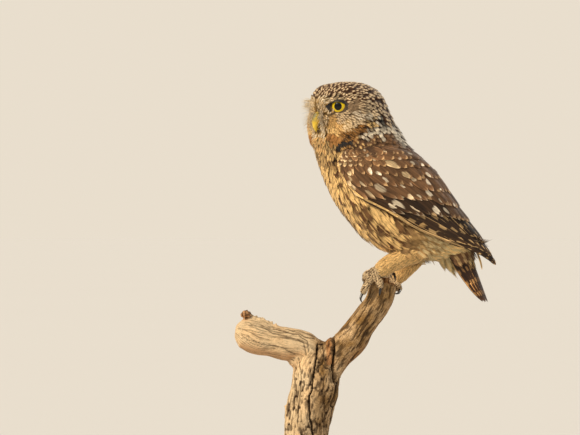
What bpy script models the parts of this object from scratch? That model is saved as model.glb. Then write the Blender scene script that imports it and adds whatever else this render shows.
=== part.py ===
"""Little owl, life size, standing on the cut end of a forked dead branch, held by a plain display stand.

The owl's body faces -X and its head is turned to its left, towards -Y. +Z is up. The origin is the centre of
the stand base's underside. Lengths are metres; tables are in millimetres and are scaled by MM.
"""

import math

import bmesh
import bpy
import numpy as np
from mathutils import Matrix, Vector

MM = 0.001
GAP = 0.3  # clear distance between neighbouring nodes, mm
UP = Vector((0, 0, 1))
NEAR = Vector((0, -1, 0))  # the owl's left

# Driving sizes of the bird, mm
HEAD_CENTRE = Vector((-15.6, 0.0, 313.0))
HEAD_TURN = math.radians(38.0)
HEAD_FRONT, HEAD_BACK, HEAD_SIDE = 31.0, 32.0, 32.5
HEAD_UP, HEAD_DOWN = 25.5, 44.0
HEAD_SQUARENESS = 2.3
EYE_RADIUS = 8.2
EYE_APEX = Vector((23.6, 18.4, 4.6))  # in the head's frame: forward, left, up
EYE_SPLAY = math.radians(24.0)
LID_THICKNESS = 1.0
LID_OPENING = (6.4, 5.1)  # half width and half height of the opening between the lids

BODY_POWER = 2.15  # how square the body's cross-sections are; 2 is an ellipse
# Outlines of neck and torso: front x, front z, back x, back z, half width, mm
NECK_SECTIONS = (
    (-45.6, 289.3, 26.5, 301.2, 31.5),
    (-44.4, 286.6, 30.0, 294.8, 32.5),
    (-43.4, 284.0, 33.6, 288.8, 33.5),
)
TORSO_SECTIONS = (
    (-43.4, 283.7, 33.8, 288.5, 33.5),
    (-41.3, 274.5, 41.0, 280.5, 36.0),
    (-36.6, 261.0, 50.4, 272.0, 37.6),
    (-28.6, 243.0, 60.7, 259.4, 37.6),
    (-18.0, 227.0, 69.3, 244.0, 36.0),
    (-3.0, 209.0, 78.2, 229.5, 32.4),
    (14.0, 198.3, 86.0, 215.5, 27.4),
    (34.0, 192.0, 89.0, 208.5, 21.2),
    (55.0, 190.5, 89.5, 203.0, 15.0),
    (68.0, 183.0, 92.0, 194.0, 11.0),
)

# Folded wing, from wrist to tip: front x, front z, back x, back z and half width of the body's cloak there,
# mm, and then where on the line from front to back, from -1 to 1, the wing's lower and upper edge lie
WING_SECTIONS = (
    (-43.0, 279.8, 36.0, 284.8, 35.3, -0.42, 0.34),
    (-42.0, 271.5, 43.2, 279.5, 37.6, -0.60, 0.76),
    (-38.6, 258.5, 51.7, 272.3, 39.3, -0.64, 0.90),
    (-30.6, 241.0, 62.3, 259.3, 39.3, -0.54, 0.955),
    (-19.0, 223.5, 72.6, 241.8, 37.4, -0.19, 0.975),
    (-3.0, 206.5, 84.0, 226.0, 33.0, 0.04, 0.98),
    (30.0, 190.0, 95.0, 210.5, 25.0, 0.385, 0.98),
    (62.0, 183.0, 104.0, 197.0, 15.0, 0.62, 0.965),
    (88.0, 181.5, 108.3, 188.5, 6.5, 0.72, 0.95),
)
WING_POWER = BODY_POWER
WING_THICKNESS = (4.6, 2.6)  # at the shoulder and at the tip
WING_CORE_DEPTH = 1.1  # how far the wing's core lies under the feathers' outer surface
# Where the core has points, as shares of the wing's length and width; how far the torso's hollow passes them
WING_ROWS = np.linspace(0.0, 0.86, 12)
WING_COLUMNS = np.linspace(0.02, 0.98, 7)
WING_POCKET_EDGE, WING_POCKET_START = 0.08, 0.02
WING_POCKET_OUT = 9.0  # how far that hollow reaches out past the wing's surface, mm

# Tiers of feathers on a wing, each from the one nearest the lower edge to the one nearest the upper edge:
# how many, u and v of their roots, u and v of their tips, and half widths in mm
WING_TIERS = (
    (5, (3.9, 0.92), (4.6, 0.60), (6.6, 0.90), (8.0, 0.50), (2.4, 2.5)),
    (6, (3.3, 0.88), (3.4, 0.17), (6.0, 0.80), (7.2, 0.20), (4.2, 3.4)),
    (5, (2.0, 0.92), (2.8, 0.34), (4.0, 0.92), (4.9, 0.34), (4.9, 5.0)),
    (5, (1.1, 0.92), (1.6, 0.38), (2.8, 0.93), (3.4, 0.38), (4.4, 4.8)),
    (4, (0.3, 0.84), (0.5, 0.36), (1.7, 0.90), (2.0, 0.42), (4.6, 4.8)),
    (2, (3.3, 0.28), (3.3, 0.12), (5.4, 0.30), (5.6, 0.14), (4.2, 4.0)),
    (3, (1.8, 0.38), (1.8, 0.09), (3.9, 0.36), (4.1, 0.10), (5.0, 4.8)),
    (3, (0.4, 0.36), (1.0, 0.20), (2.4, 0.38), (2.6, 0.10), (5.0, 4.8)),
)
VANE_STEPS = (0.0, 0.45, 0.9, 1.0)  # places along a feather
VANE_WIDTHS = (0.65, 1.0, 0.78, 0.25)  # its half width there, as a share of the widest
VANE_THICKNESS = 0.75
VANE_ROOT, VANE_TIP = -2.2, 0.4  # height of a feather's middle line over the surface, at its root and tip
VANE_ROLL = -0.45  # height of its left edge over that line; its right edge lies as much on the other side

# Tail: where it leaves the body, its direction and sizes, mm
TAIL_ROOT = Vector((76.0, 0.0, 199.0))
TAIL_DIRECTION = Vector((0.411, 0.0, -0.911)).normalized()
TAIL_LENGTH = 44.0
TAIL_DEPTH = (18.5, 3.6)  # height of the arch that the feathers form, at the root and at the tips
TAIL_WIDTH = (14.5, 13.0)  # half width of that arch
TAIL_SPREAD = math.radians(78.0)
# Tiers of feathers on the arch: start and end along it, how much shorter the outermost is, spread as a share
# of TAIL_SPREAD, count, half width, and height over the arch at the root and at the tip
TAIL_TIERS = (
    (3.0, 44.0, 2.5, 1.0, 10, 3.3, -1.4, 0.0),
    (1.5, 19.0, 4.0, 0.8, 5, 4.4, -0.6, 2.0),
)
TAIL_ROLL = 0.45  # height of a tail feather's edge over its middle line, mirrored on the two halves
# Feathers under the tail: height over its line, distance sideways, length and half width
UNDER_TAIL = ((-18.3, 0.0, 9.9, 4.6), (-16.5, 4.5, 12.5, 4.4), (-13.8, 9.5, 15.4, 4.0))
TAIL_BASE_SECTIONS = (
    (-19.5, 14.0, 14.3),
    (-15.0, 12.5, 13.0),
    (-9.0, 11.0, 10.0),
)  # reach to the front and to the back and half width, one every TAIL_BASE_STEP along the tail
TAIL_BASE_STEP = 7.0

# Legs: centre lines and radii, mm
TARSUS_PATHS = {
    "left": ((26.0, -14.4, 192.3), (19.1, -14.5, 188.5), (12.4, -14.5, 184.5)),
    "right": ((39.4, 13.8, 190.6), (33.2, 13.7, 184.0), (26.6, 13.6, 177.2)),
}
TARSUS_RADII = {"left": (6.3, 5.3, 4.9), "right": (5.0, 4.4, 4.2)}
THIGH_PATHS = {
    "left": ((47.0, -15.6, 206.5), (40.0, -15.0, 200.4), (33.4, -14.05, 195.9)),
    "right": ((52.0, 15.6, 207.5), (47.6, 14.8, 201.4), (43.5, 13.95, 195.6)),
}
THIGH_POCKET_REACH = 25.0  # how far the hollow for a thigh runs on past its lower end
THIGH_RADII = {"left": (9.4, 8.8, 7.4), "right": (8.6, 7.4, 5.6)}

# The branch: centre lines and radii, mm
LIMB_END = Vector((15.5, 0.0, 175.3))
LIMB_AXIS = Vector((0.42, 0.0, 0.907)).normalized()
LIMB_RADIUS = 11.4
TRUNK = (
    (-50.5, 38.0, 17.6),
    (-49.6, 50.0, 18.0),
    (-47.3, 62.0, 19.2),
    (-46.0, 74.0, 20.2),
    (-42.3, 86.0, 19.6),
    (-38.5, 98.0, 20.0),
    (-33.0, 109.0, 17.5),
    (-29.0, 118.0, 11.0),
)
LIMB = (
    (-37.0, 92.0, 14.5),
    (-26.3, 109.5, 14.0),
    (-16.8, 122.0, 12.9),
    (-8.1, 131.8, 12.4),
    (4.3, 149.2, 11.9),
    (11.9, 163.0, 11.6),
    (15.5, 175.3, 11.3),
)
STUB = (
    (-28.0, 109.0, 13.0),
    (-44.0, 115.6, 14.6),
    (-58.5, 121.0, 14.5),
    (-72.5, 125.9, 14.4),
    (-88.0, 131.0, 16.3),
    (-99.0, 135.0, 15.0),
    (-105.5, 137.0, 9.0),
)

SHARP_ANGLE = math.radians(38.0)  # edges turned by more than this are drawn sharp

KNOB = Vector((-98.5, -3.0, 147.2))  # the stump of a twig on the stub
KNOB_RADIUS = 4.4
KNOB_GRID = (10, 6)

# The stand, mm
BASE_RADIUS, BASE_HEIGHT, BASE_CHAMFER = 80.0, 14.0, 1.5
ROD_RADIUS = 5.0
ROD_X = -50.0
TRUNK_END_Z = 40.0

MATERIALS = {
    "plumage": ((0.34, 0.22, 0.13), 0.8, 0.0),
    "flight": ((0.22, 0.14, 0.09), 0.7, 0.0),
    "leg_feather": ((0.66, 0.5, 0.32), 0.8, 0.0),
    "horn": ((0.75, 0.58, 0.14), 0.4, 0.0),
    "eye": ((0.85, 0.62, 0.05), 0.1, 0.0),
    "claw": ((0.03, 0.025, 0.02), 0.3, 0.0),
    "dead_wood": ((0.55, 0.4, 0.26), 0.8, 0.0),
    "base_wood": ((0.1, 0.06, 0.04), 0.4, 0.0),
    "steel": ((0.5, 0.5, 0.5), 0.3, 1.0),
}


def clear_scene():
    for obj in list(bpy.data.objects):
        bpy.data.objects.remove(obj, do_unlink=True)


def material(name):
    found = bpy.data.materials.get(name)
    if found:
        return found
    colour, roughness, metallic = MATERIALS[name]
    made = bpy.data.materials.new(name)
    made.use_nodes = True
    shader = made.node_tree.nodes["Principled BSDF"]
    shader.inputs["Base Color"].default_value = (*colour, 1.0)
    shader.inputs["Roughness"].default_value = roughness
    shader.inputs["Metallic"].default_value = metallic
    return made


def add_object(name, points, faces, finish):
    """A mesh object from points in mm, with its faces made consistent and pointing out."""
    mesh = bpy.data.meshes.new(name)
    mesh.from_pydata([Vector(p) * MM for p in points], [], faces)
    work = bmesh.new()
    work.from_mesh(mesh)
    bmesh.ops.recalc_face_normals(work, faces=work.faces)
    work.to_mesh(mesh)
    work.free()
    mesh.shade_smooth()
    mesh.materials.append(material(finish))
    obj = bpy.data.objects.new(name, mesh)
    bpy.context.scene.collection.objects.link(obj)
    return obj


def spline(table, count):
    """count rows read from a smooth curve through the rows of table."""
    padded = padded_table(table)
    return np.array([spline_at(padded, s) for s in np.linspace(0, len(table) - 1, count)])


def padded_table(table):
    """The table as an array with one extra row at each end, for spline_at."""
    rows = np.array(table, float)
    return np.vstack([2 * rows[0] - rows[1], rows, 2 * rows[-1] - rows[-2]])


def spline_at(padded, s):
    """The Catmull-Rom point at s of a padded table."""
    i = min(max(int(s), 0), len(padded) - 4)
    t = s - i
    a, b, c, d = padded[i : i + 4]
    return 0.5 * (2 * b + (c - a) * t + (2 * a - 5 * b + 4 * c - d) * t**2 + (3 * b - a - 3 * c + d) * t**3)


def superellipse(angle, power):
    """The unit superellipse's point at that angle."""
    c, s = math.cos(angle), math.sin(angle)
    size = (abs(c) ** power + abs(s) ** power) ** (-1 / power)
    return c * size, s * size


def superellipse_at(angle, power):
    """The unit superellipse's point whose coordinates are powers of the cosine and sine of angle."""
    c, s = math.cos(angle), math.sin(angle)
    return math.copysign(abs(c) ** (2 / power), c), math.copysign(abs(s) ** (2 / power), s)


def skin_rings(rings, closed_start=None, closed_end=None):
    """Points and faces of a closed body through rings of equal count. A pole point may close either end."""
    count = len(rings[0])
    points = [p for ring in rings for p in ring]
    faces = []
    for i in range(len(rings) - 1):
        for j in range(count):
            k = (j + 1) % count
            a, b = i * count, (i + 1) * count
            faces += [(a + j, a + k, b + k), (a + j, b + k, b + j)]
    for pole, start in ((closed_start, 0), (closed_end, (len(rings) - 1) * count)):
        centre = sum((Vector(p) for p in rings[0 if start == 0 else -1]), Vector()) / count
        points.append(Vector(pole) if pole else centre)
        top = len(points) - 1
        faces += [(start + j, start + (j + 1) % count, top) for j in range(count)]
    return points, faces


def body_sections(table, count, sides):
    """Rings of a body whose front and back lines lie in the XZ plane."""
    rings = []
    for fx, fz, bx, bz, half in spline(table, count):
        centre = Vector(((fx + bx) / 2, 0, (fz + bz) / 2))
        reach = Vector(((bx - fx) / 2, 0, (bz - fz) / 2))
        ring = []
        for j in range(sides):
            c, s = superellipse(math.tau * j / sides, BODY_POWER)
            ring.append(centre + reach * c + Vector((0, half * s, 0)))
        rings.append(ring)
    return rings


def tube_rings(path, radii, sides, up=Vector((0, 1, 0))):
    """Rings round a path. Each starts on the side that lies nearest to up."""
    path = [Vector(p) for p in path]
    rings = []
    for i, (p, r) in enumerate(zip(path, radii)):
        along = (path[min(i + 1, len(path) - 1)] - path[max(i - 1, 0)]).normalized()
        first = (up - along * up.dot(along)).normalized()
        second = along.cross(first)
        turns = [math.tau * j / sides for j in range(sides)]
        rings.append([p + first * (r * math.cos(a)) + second * (r * math.sin(a)) for a in turns])
    return rings


def cut_plane(obj, point, normal):
    """Removes what lies on the normal's side of a plane, and closes the cut."""
    work = bmesh.new()
    work.from_mesh(obj.data)
    everything = work.verts[:] + work.edges[:] + work.faces[:]
    done = bmesh.ops.bisect_plane(
        work, geom=everything, dist=1e-7, plane_co=Vector(point) * MM, plane_no=normal, clear_outer=True
    )
    edges = [e for e in done["geom_cut"] if isinstance(e, bmesh.types.BMEdge)]
    bmesh.ops.holes_fill(work, edges=edges, sides=0)
    bmesh.ops.triangulate(work, faces=[f for f in work.faces if len(f.verts) > 4])
    bmesh.ops.recalc_face_normals(work, faces=work.faces)
    work.to_mesh(obj.data)
    work.free()
    return obj


def largest_body(obj):
    """Keeps only the closed surface with the most volume."""
    work = bmesh.new()
    work.from_mesh(obj.data)
    left = set(work.verts)
    bodies = []
    while left:
        stack = [left.pop()]
        found = set(stack)
        while stack:
            for edge in stack.pop().link_edges:
                for vert in edge.verts:
                    if vert in left:
                        left.discard(vert)
                        found.add(vert)
                        stack.append(vert)
        bodies.append(found)

    def volume(verts):
        faces = {f for v in verts for f in v.link_faces}
        total = 0.0
        for face in faces:
            first = face.verts[0].co
            for a, b in zip(face.verts[1:], face.verts[2:]):
                total += first.dot(a.co.cross(b.co))
        return abs(total)

    bodies.sort(key=volume)
    loose = [v for verts in bodies[:-1] for v in verts]
    bmesh.ops.delete(work, geom=loose, context="VERTS")
    work.to_mesh(obj.data)
    work.free()
    return obj


def apply_boolean(obj, others, operation, solver="EXACT"):
    """Joins or cuts obj with a collection of closed meshes, applies the result and removes them."""
    group = bpy.data.collections.new("operands")
    for other in others:
        group.objects.link(other)
    modifier = obj.modifiers.new("Boolean", "BOOLEAN")
    modifier.operation = operation
    modifier.solver = solver
    modifier.operand_type = "COLLECTION"
    modifier.collection = group
    bpy.context.view_layer.update()
    graph = bpy.context.evaluated_depsgraph_get()
    made = bpy.data.meshes.new_from_object(obj.evaluated_get(graph))
    obj.modifiers.clear()
    old = obj.data
    obj.data = made
    made.name = old.name
    for other in others:
        bpy.data.objects.remove(other, do_unlink=True)
    bpy.data.collections.remove(group)
    return largest_body(obj)


def fuse(obj, others, solver="EXACT"):
    return apply_boolean(obj, others, "UNION", solver)


def carve(obj, cutters, solver="EXACT"):
    return apply_boolean(obj, cutters, "DIFFERENCE", solver)


WING_TABLE = padded_table(WING_SECTIONS)


def head_to_world(local):
    """A point of the head's frame (forward, left, up) in world mm."""
    c, s = math.cos(HEAD_TURN), math.sin(HEAD_TURN)
    forward, left = Vector((-c, -s, 0)), Vector((s, -c, 0))
    return HEAD_CENTRE + forward * local[0] + left * local[1] + Vector((0, 0, local[2]))


def hill(distance, width):
    return math.exp(-((distance / width) ** 2))


def ramp(value, start, end):
    """0 before start, 1 past end and a smooth rise between."""
    t = min(max((value - start) / (end - start), 0.0), 1.0)
    return t * t * (3 - 2 * t)


def head_relief(azimuth, height):
    """How far the face's features lift the head's surface, in mm. Angles are in degrees from the bill."""
    side = abs(azimuth)
    brow_line = 12.0 + 0.42 * side
    brow = 2.4 * hill(height - brow_line - 7.0, 7.0) * hill(max(side - 18.0, 0), 30.0)
    hollow = -3.0 * hill(math.hypot(side - 36.0, height - 8.0), 17.0)
    muzzle = 1.6 * hill(side, 13.0) * hill(height + 12.0, 14.0)
    gape = -2.2 * hill(side - 19.0, 8.0) * hill(height + 20.0, 11.0)
    rim = 1.4 * hill(math.hypot(side - 30.0, height + 4.0) - 50.0, 10.0) * hill(max(side - 80.0, 0), 14.0)
    away = abs((azimuth - (180.0 - math.degrees(HEAD_TURN)) + 180.0) % 360.0 - 180.0)
    nape = 15.0 * ramp(-height, -12.0, 42.0) * hill(away, 62.0)
    return brow + hollow + muzzle + gape + rim + nape


def head_surface(azimuth, height):
    """The head's surface point for an azimuth from the bill and a height angle, both in radians."""
    x = math.cos(height) * math.cos(azimuth)
    y = math.cos(height) * math.sin(azimuth)
    z = math.sin(height)
    sizes = (HEAD_FRONT if x > 0 else HEAD_BACK, HEAD_SIDE, HEAD_UP if z > 0 else HEAD_DOWN)
    total = sum(abs(v / size) ** HEAD_SQUARENESS for v, size in zip((x, y, z), sizes))
    reach = total ** (-1 / HEAD_SQUARENESS)
    turned = (math.degrees(azimuth) + 180.0) % 360.0 - 180.0
    reach += head_relief(turned, math.degrees(height))
    return Vector((x, y, z)) * reach


def eye_frame(side):
    """Centre of the eyeball and its axis in the head's frame. side is 1 for left and -1 for right."""
    axis = Vector((math.cos(EYE_SPLAY), side * math.sin(EYE_SPLAY), 0.0))
    apex = Vector((EYE_APEX.x, side * EYE_APEX.y, EYE_APEX.z))
    return apex - axis * EYE_RADIUS, axis


def ball(name, centre, axis, radius, finish, segments=16, rings=10):
    """A sphere in the head's frame, with its poles on axis."""
    mesh = bpy.data.meshes.new(name)
    work = bmesh.new()
    bmesh.ops.create_uvsphere(work, u_segments=segments, v_segments=rings, radius=radius * MM)
    turn = axis.to_track_quat("Z", "Y").to_matrix().to_4x4()
    work.transform(Matrix.Translation(centre * MM) @ turn)
    work.to_mesh(mesh)
    work.free()
    mesh.shade_smooth()
    mesh.materials.append(material(finish))
    obj = bpy.data.objects.new(name, mesh)
    bpy.context.scene.collection.objects.link(obj)
    return obj


def world_axis(axis):
    return (head_to_world(axis) - HEAD_CENTRE).normalized()


def bill_rings(upper, lower, widths, extra, sides=12):
    """Rings between two lines of the head's (forward, up) plane, grown by extra all round."""
    rings = []
    rows = list(zip(upper, lower, widths))
    if extra:
        (uf, uu), (lf, lu), half = rows[0]
        rows.insert(0, ((uf - 2 * extra, uu), (lf - 2 * extra, lu), half))
        (uf, uu), (lf, lu), half = rows[-1]
        rows.append(((uf + extra, uu - extra), (lf + extra, lu - extra), half))
    for (uf, uu), (lf, lu), half in rows:
        centre = Vector(((uf + lf) / 2, 0, (uu + lu) / 2))
        reach = Vector(((uf - lf) / 2, 0, (uu - lu) / 2))
        reach = reach * (1 + extra / max(reach.length, 0.1))
        ring = []
        for j in range(sides):
            c, s = superellipse(math.tau * j / sides, 2.0)
            ring.append(head_to_world(centre + reach * c + Vector((0, (half + extra) * s, 0))))
        rings.append(ring)
    return rings


# The bill in the head's forward and up directions, from its base to its tip, mm
CULMEN = ((29.5, 0.8), (33.2, -1.0), (35.2, -4.6), (35.7, -8.8), (35.0, -12.5), (33.5, -15.1), (32.1, -16.6))
TOMIUM = (
    (23.5, -8.4),
    (27.3, -9.8),
    (30.2, -11.2),
    (31.5, -12.4),
    (31.8, -14.1),
    (31.8, -15.7),
    (31.9, -16.8),
)
BILL_WIDTHS = (5.0, 4.9, 4.4, 3.5, 2.4, 1.2, 0.3)
JAW_TOP = ((23.5, -9.5), (27.1, -10.9), (29.6, -12.2), (30.6, -13.2), (30.9, -13.9))
JAW_BOTTOM = ((23.2, -12.9), (26.8, -14.2), (29.0, -14.9), (30.2, -15.0), (31.0, -14.5))
JAW_WIDTHS = (4.3, 4.0, 3.1, 1.9, 0.5)
NOSTRIL, NOSTRIL_RADIUS = Vector((33.4, 3.6, -4.0)), 0.9
NOSTRIL_GRID = (8, 6)  # sides round a ball and steps from pole to pole
LID_GRID = (20, 12)
HEAD_GRID = (36, 18)


def build_bill(extra=0.0, suffix=""):
    """The upper and the lower half of the bill, grown by extra for the pocket that holds them."""
    upper = skin_rings(bill_rings(CULMEN, TOMIUM, BILL_WIDTHS, extra))
    lower = skin_rings(bill_rings(JAW_TOP, JAW_BOTTOM, JAW_WIDTHS, extra * 0.9))
    top = add_object("bill_upper" + suffix, *upper, "horn")
    jaw = add_object("bill_lower" + suffix, *lower, "horn")
    if not extra:
        spots = [head_to_world(Vector((NOSTRIL.x, side * NOSTRIL.y, NOSTRIL.z))) for side in (1, -1)]
        carve(top, [ball("nostril", spot, UP, NOSTRIL_RADIUS, "horn", *NOSTRIL_GRID) for spot in spots])
    return [top, jaw]


def build_head():
    around, levels = HEAD_GRID
    rings = []
    for i in range(1, levels):
        height = math.pi / 2 - math.pi * i / levels
        rings.append([head_to_world(head_surface(math.tau * j / around, height)) for j in range(around)])
    top = head_to_world(Vector((0, 0, HEAD_UP)))
    bottom = head_to_world(Vector((0, 0, -HEAD_DOWN)))
    head = add_object("head", *skin_rings(rings, top, bottom), "plumage")
    front, back = NECK_SECTIONS[0][:2], NECK_SECTIONS[0][2:4]
    across = Vector((back[0] - front[0], 0, back[1] - front[1])).normalized()
    down = Vector((across.z, 0, -across.x))
    cut_plane(head, Vector((front[0], 0, front[1])) - down * GAP, down)
    lids, sockets = [], []
    for side in (1, -1):
        centre, axis = eye_frame(side)
        middle, facing = head_to_world(centre), world_axis(axis)
        lids.append(ball("lids", middle, facing, EYE_RADIUS + GAP + LID_THICKNESS, "plumage", *LID_GRID))
        sockets.append(ball("socket", middle, facing, EYE_RADIUS + GAP, "plumage", *LID_GRID))
        sockets.append(lid_opening(middle, facing))
    fuse(head, lids)
    carve(head, sockets)
    carve(head, list(build_bill(GAP, "_pocket")))
    return head


def lid_opening(middle, facing):
    """An oval plug along the eye's axis, which opens the lids."""
    sides = LID_GRID[0]
    first = UP.cross(facing).normalized()
    rings = []
    for distance in (EYE_RADIUS * 0.5, EYE_RADIUS + 6.0):
        ring = []
        for j in range(sides):
            a = math.tau * j / sides
            across = first * (LID_OPENING[0] * math.cos(a)) + UP * (LID_OPENING[1] * math.sin(a))
            ring.append(middle + facing * distance + across)
        rings.append(ring)
    return add_object("opening", *skin_rings(rings), "plumage")


def build_eyes():
    for side, name in ((1, "eye_left"), (-1, "eye_right")):
        centre, axis = eye_frame(side)
        ball(name, head_to_world(centre), world_axis(axis), EYE_RADIUS, "eye")


def build_neck():
    return add_object("neck", *skin_rings(body_sections(NECK_SECTIONS, 3, 28)), "plumage")


def wing_point(u, v):
    """A point of the left wing's outer surface: u runs from wrist to tip, v from upper to lower edge."""
    fx, fz, bx, bz, half, low, high = spline_at(WING_TABLE, u)
    top, bottom = (math.acos(math.copysign(abs(f) ** (WING_POWER / 2), f)) for f in (high, low))
    c, s = superellipse_at(top + (bottom - top) * v, WING_POWER)
    middle, reach = Vector(((fx + bx) / 2, 0, (fz + bz) / 2)), Vector(((bx - fx) / 2, 0, (bz - fz) / 2))
    return middle + reach * c - Vector((0, half * s, 0))


def wing_normal(u, v):
    """The outward unit normal of the wing's surface."""
    step, last = 0.03, len(WING_SECTIONS) - 1
    a = wing_point(min(u + step, last), v) - wing_point(max(u - step, 0), v)
    b = wing_point(u, v + step) - wing_point(u, v - step)
    return b.cross(a).normalized()


def plate(name, outer, inner, finish):
    """A closed curved plate from two grids of points, in equal rows. Both faces are split alike."""
    rows, wide = len(outer), len(outer[0])
    count = rows * wide
    faces = []
    for i in range(rows - 1):
        for j in range(wide - 1):
            a, b, c, d = i * wide + j, i * wide + j + 1, (i + 1) * wide + j + 1, (i + 1) * wide + j
            faces += [(a, b, c), (a, c, d)]
            faces += [(a + count, c + count, b + count), (a + count, d + count, c + count)]
    border = [*range(wide)] + [i * wide + wide - 1 for i in range(1, rows)]
    border += [(rows - 1) * wide + j for j in range(wide - 2, -1, -1)]
    border += [i * wide for i in range(rows - 2, 0, -1)]
    for a, b in zip(border, border[1:] + border[:1]):
        faces += [(a, a + count, b + count), (a, b + count, b)]
    points = [p for grid in (outer, inner) for row in grid for p in row]
    return add_object(name, points, faces, finish)


def wing_shell(name, outward, inward, shares, places):
    """A curved plate on the wing's surface, with points at these shares of its length and of its width.
    outward and inward are its faces' offsets at a share of the length."""
    last = len(WING_SECTIONS) - 1
    outer, inner = [], []
    for share in shares:
        row = [(wing_point(share * last, v), wing_normal(share * last, v)) for v in places]
        outer.append([p + n * outward(share) for p, n in row])
        inner.append([p - n * inward(share) for p, n in row])
    return plate(name, outer, inner, "flight")


def vane(places, half_width, roll=0.0):
    """A feather's vane: places are its middle points with the surface's normal there, from root to tip."""
    rings = []
    for i, ((p, n), wide) in enumerate(zip(places, VANE_WIDTHS)):
        along = places[min(i + 1, len(places) - 1)][0] - places[max(i - 1, 0)][0]
        across = n.cross(along).normalized() * (half_width * wide)
        rise, half = n * (roll * wide), n * (VANE_THICKNESS / 2)
        left, right = p + across + rise, p - across - rise
        rings.append([left + half, right + half, right - half, left - half])
    return add_object("vane", *skin_rings(rings), "flight")


def wing_vanes():
    """The left wing's feathers, tier by tier."""
    made = []
    for count, root_a, root_b, tip_a, tip_b, widths in WING_TIERS:
        for k in range(count):
            share = k / (count - 1)
            root, tip = (Vector(a).lerp(Vector(b), share) for a, b in ((root_a, root_b), (tip_a, tip_b)))
            places = []
            for t in VANE_STEPS:
                u, v = root.lerp(tip, t)
                n = wing_normal(u, v)
                places.append((wing_point(u, v) + n * (VANE_ROOT + (VANE_TIP - VANE_ROOT) * t), n))
            made.append(vane(places, widths[0] + (widths[1] - widths[0]) * share, VANE_ROLL))
    return made


def wing_thickness(share):
    full = WING_THICKNESS[0] + (WING_THICKNESS[1] - WING_THICKNESS[0]) * share
    return full * (0.75 + 0.25 * ramp(share, 0.0, 0.14))


def mirrored(obj, name):
    """A copy of an object on the other side of the XZ plane."""
    mesh = obj.data.copy()
    mesh.transform(Matrix.Diagonal((1, -1, 1, 1)))
    mesh.flip_normals()
    mesh.name = name
    copy = bpy.data.objects.new(name, mesh)
    bpy.context.scene.collection.objects.link(copy)
    return copy


def build_wings():
    core = wing_shell("wing_left", lambda share: -WING_CORE_DEPTH, wing_thickness, WING_ROWS, WING_COLUMNS)
    left = fuse(core, wing_vanes(), "MANIFOLD")
    mirrored(left, "wing_right")


def wing_pockets():
    """What the torso gives way to, so that the wings lie on it with a gap."""
    first, last = WING_COLUMNS[0], WING_COLUMNS[-1]
    shares = [-WING_POCKET_START, *WING_ROWS, 1.0]
    places = [first - WING_POCKET_EDGE, *WING_COLUMNS, last + WING_POCKET_EDGE]
    depth = lambda share: wing_thickness(share) + GAP
    left = wing_shell("pocket", lambda share: WING_POCKET_OUT, depth, shares, places)
    return [left, mirrored(left, "pocket_right")]


def build_torso():
    torso = add_object("torso", *skin_rings(body_sections(TORSO_SECTIONS, 12, 28)), "plumage")
    cut_plane(torso, TAIL_ROOT - TAIL_DIRECTION * GAP, TAIL_DIRECTION)
    carve(torso, wing_pockets())
    work = bmesh.new()
    work.from_mesh(torso.data)
    everything = work.verts[:] + work.edges[:] + work.faces[:]
    bmesh.ops.symmetrize(work, input=everything, direction="-Y", dist=1e-6)
    work.to_mesh(torso.data)
    work.free()
    cutters = [build_thigh(side, GAP) for side in ("left", "right")]
    carve(torso, cutters)
    return torso


def thigh_rows(side):
    """Points and radii along a thigh, from its top to the leg."""
    rows = spline([(*p, r) for p, r in zip(THIGH_PATHS[side], THIGH_RADII[side])], 6)
    return [Vector(row[:3]) for row in rows], [row[3] for row in rows]


def build_thigh(side, extra=0.0):
    name = "thigh_" + side + ("_pocket" if extra else "")
    path, radii = thigh_rows(side)
    radii = [r + extra for r in radii]
    top = path[0] + (path[0] - path[1]).normalized() * (radii[0] * 0.6 + extra)
    if extra:
        path[0] += (path[0] - path[1]).normalized() * extra
        path.append(path[-1] + (path[-1] - path[-2]).normalized() * THIGH_POCKET_REACH)
        radii.append(radii[-1])
    return add_object(name, *skin_rings(tube_rings(path, radii, 16), top), "leg_feather")


def tarsus_rows(side):
    """Points and radii along a leg from just inside the thigh's end to the ankle."""
    thigh = thigh_rows(side)[0]
    along = (thigh[-1] - thigh[-2]).normalized()
    path = [thigh[-1] - along * 2, *TARSUS_PATHS[side]]
    radii = [TARSUS_RADII[side][0], *TARSUS_RADII[side]]
    rows = spline([(*p, r) for p, r in zip(path, radii)], 6)
    return [Vector(row[:3]) for row in rows], [row[3] for row in rows]


def build_tarsus(side):
    thigh = thigh_rows(side)[0]
    along = (thigh[-1] - thigh[-2]).normalized()
    tarsus = add_object("tarsus_" + side, *skin_rings(tube_rings(*tarsus_rows(side), 14)), "leg_feather")
    return cut_plane(tarsus, thigh[-1] + along * GAP, -along)


def limb_point(depth, angle, reach):
    """A point round the limb: depth below its end, angle from the upper left towards -Y, and radius."""
    left_up = Vector((-LIMB_AXIS.z, 0, LIMB_AXIS.x))
    turn = math.radians(angle)
    return LIMB_END - LIMB_AXIS * depth + (left_up * math.cos(turn) + NEAR * math.sin(turn)) * reach


# Toes: depth and angle round the limb at three places along each, then the claw's tip. A third number says
# how far the place lies inside the line of the other toes. mm and degrees.
TOES = {
    "left": (
        ((1.6, 46.0), (9.6, 41.0), (17.6, 41.0), (24.6, 47.0)),
        ((0.6, 62.0), (3.1, 76.0), (7.6, 86.0), (14.1, 95.0)),
        ((-3.3, 52.0, 4.8), (-4.4, 78.0, 7.2), (-7.2, 110.0, 6.6), (-3.2, 126.0)),
        ((0.6, 22.0), (3.6, -8.0), (7.6, -24.0), (14.6, -38.0)),
    ),
    "right": (
        ((-0.4, 228.0), (0.6, 215.0), (2.1, 203.0), (7.1, 152.0)),
        ((4.6, 234.0), (10.6, 236.0), (16.1, 238.0), (23.6, 243.0)),
        ((1.6, 250.0), (4.1, 262.0), (6.6, 275.0), (13.1, 290.0)),
        ((-2.9, 250.0), (-4.4, 266.0), (-4.2, 281.0), (1.8, 300.0)),
    ),
}
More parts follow.
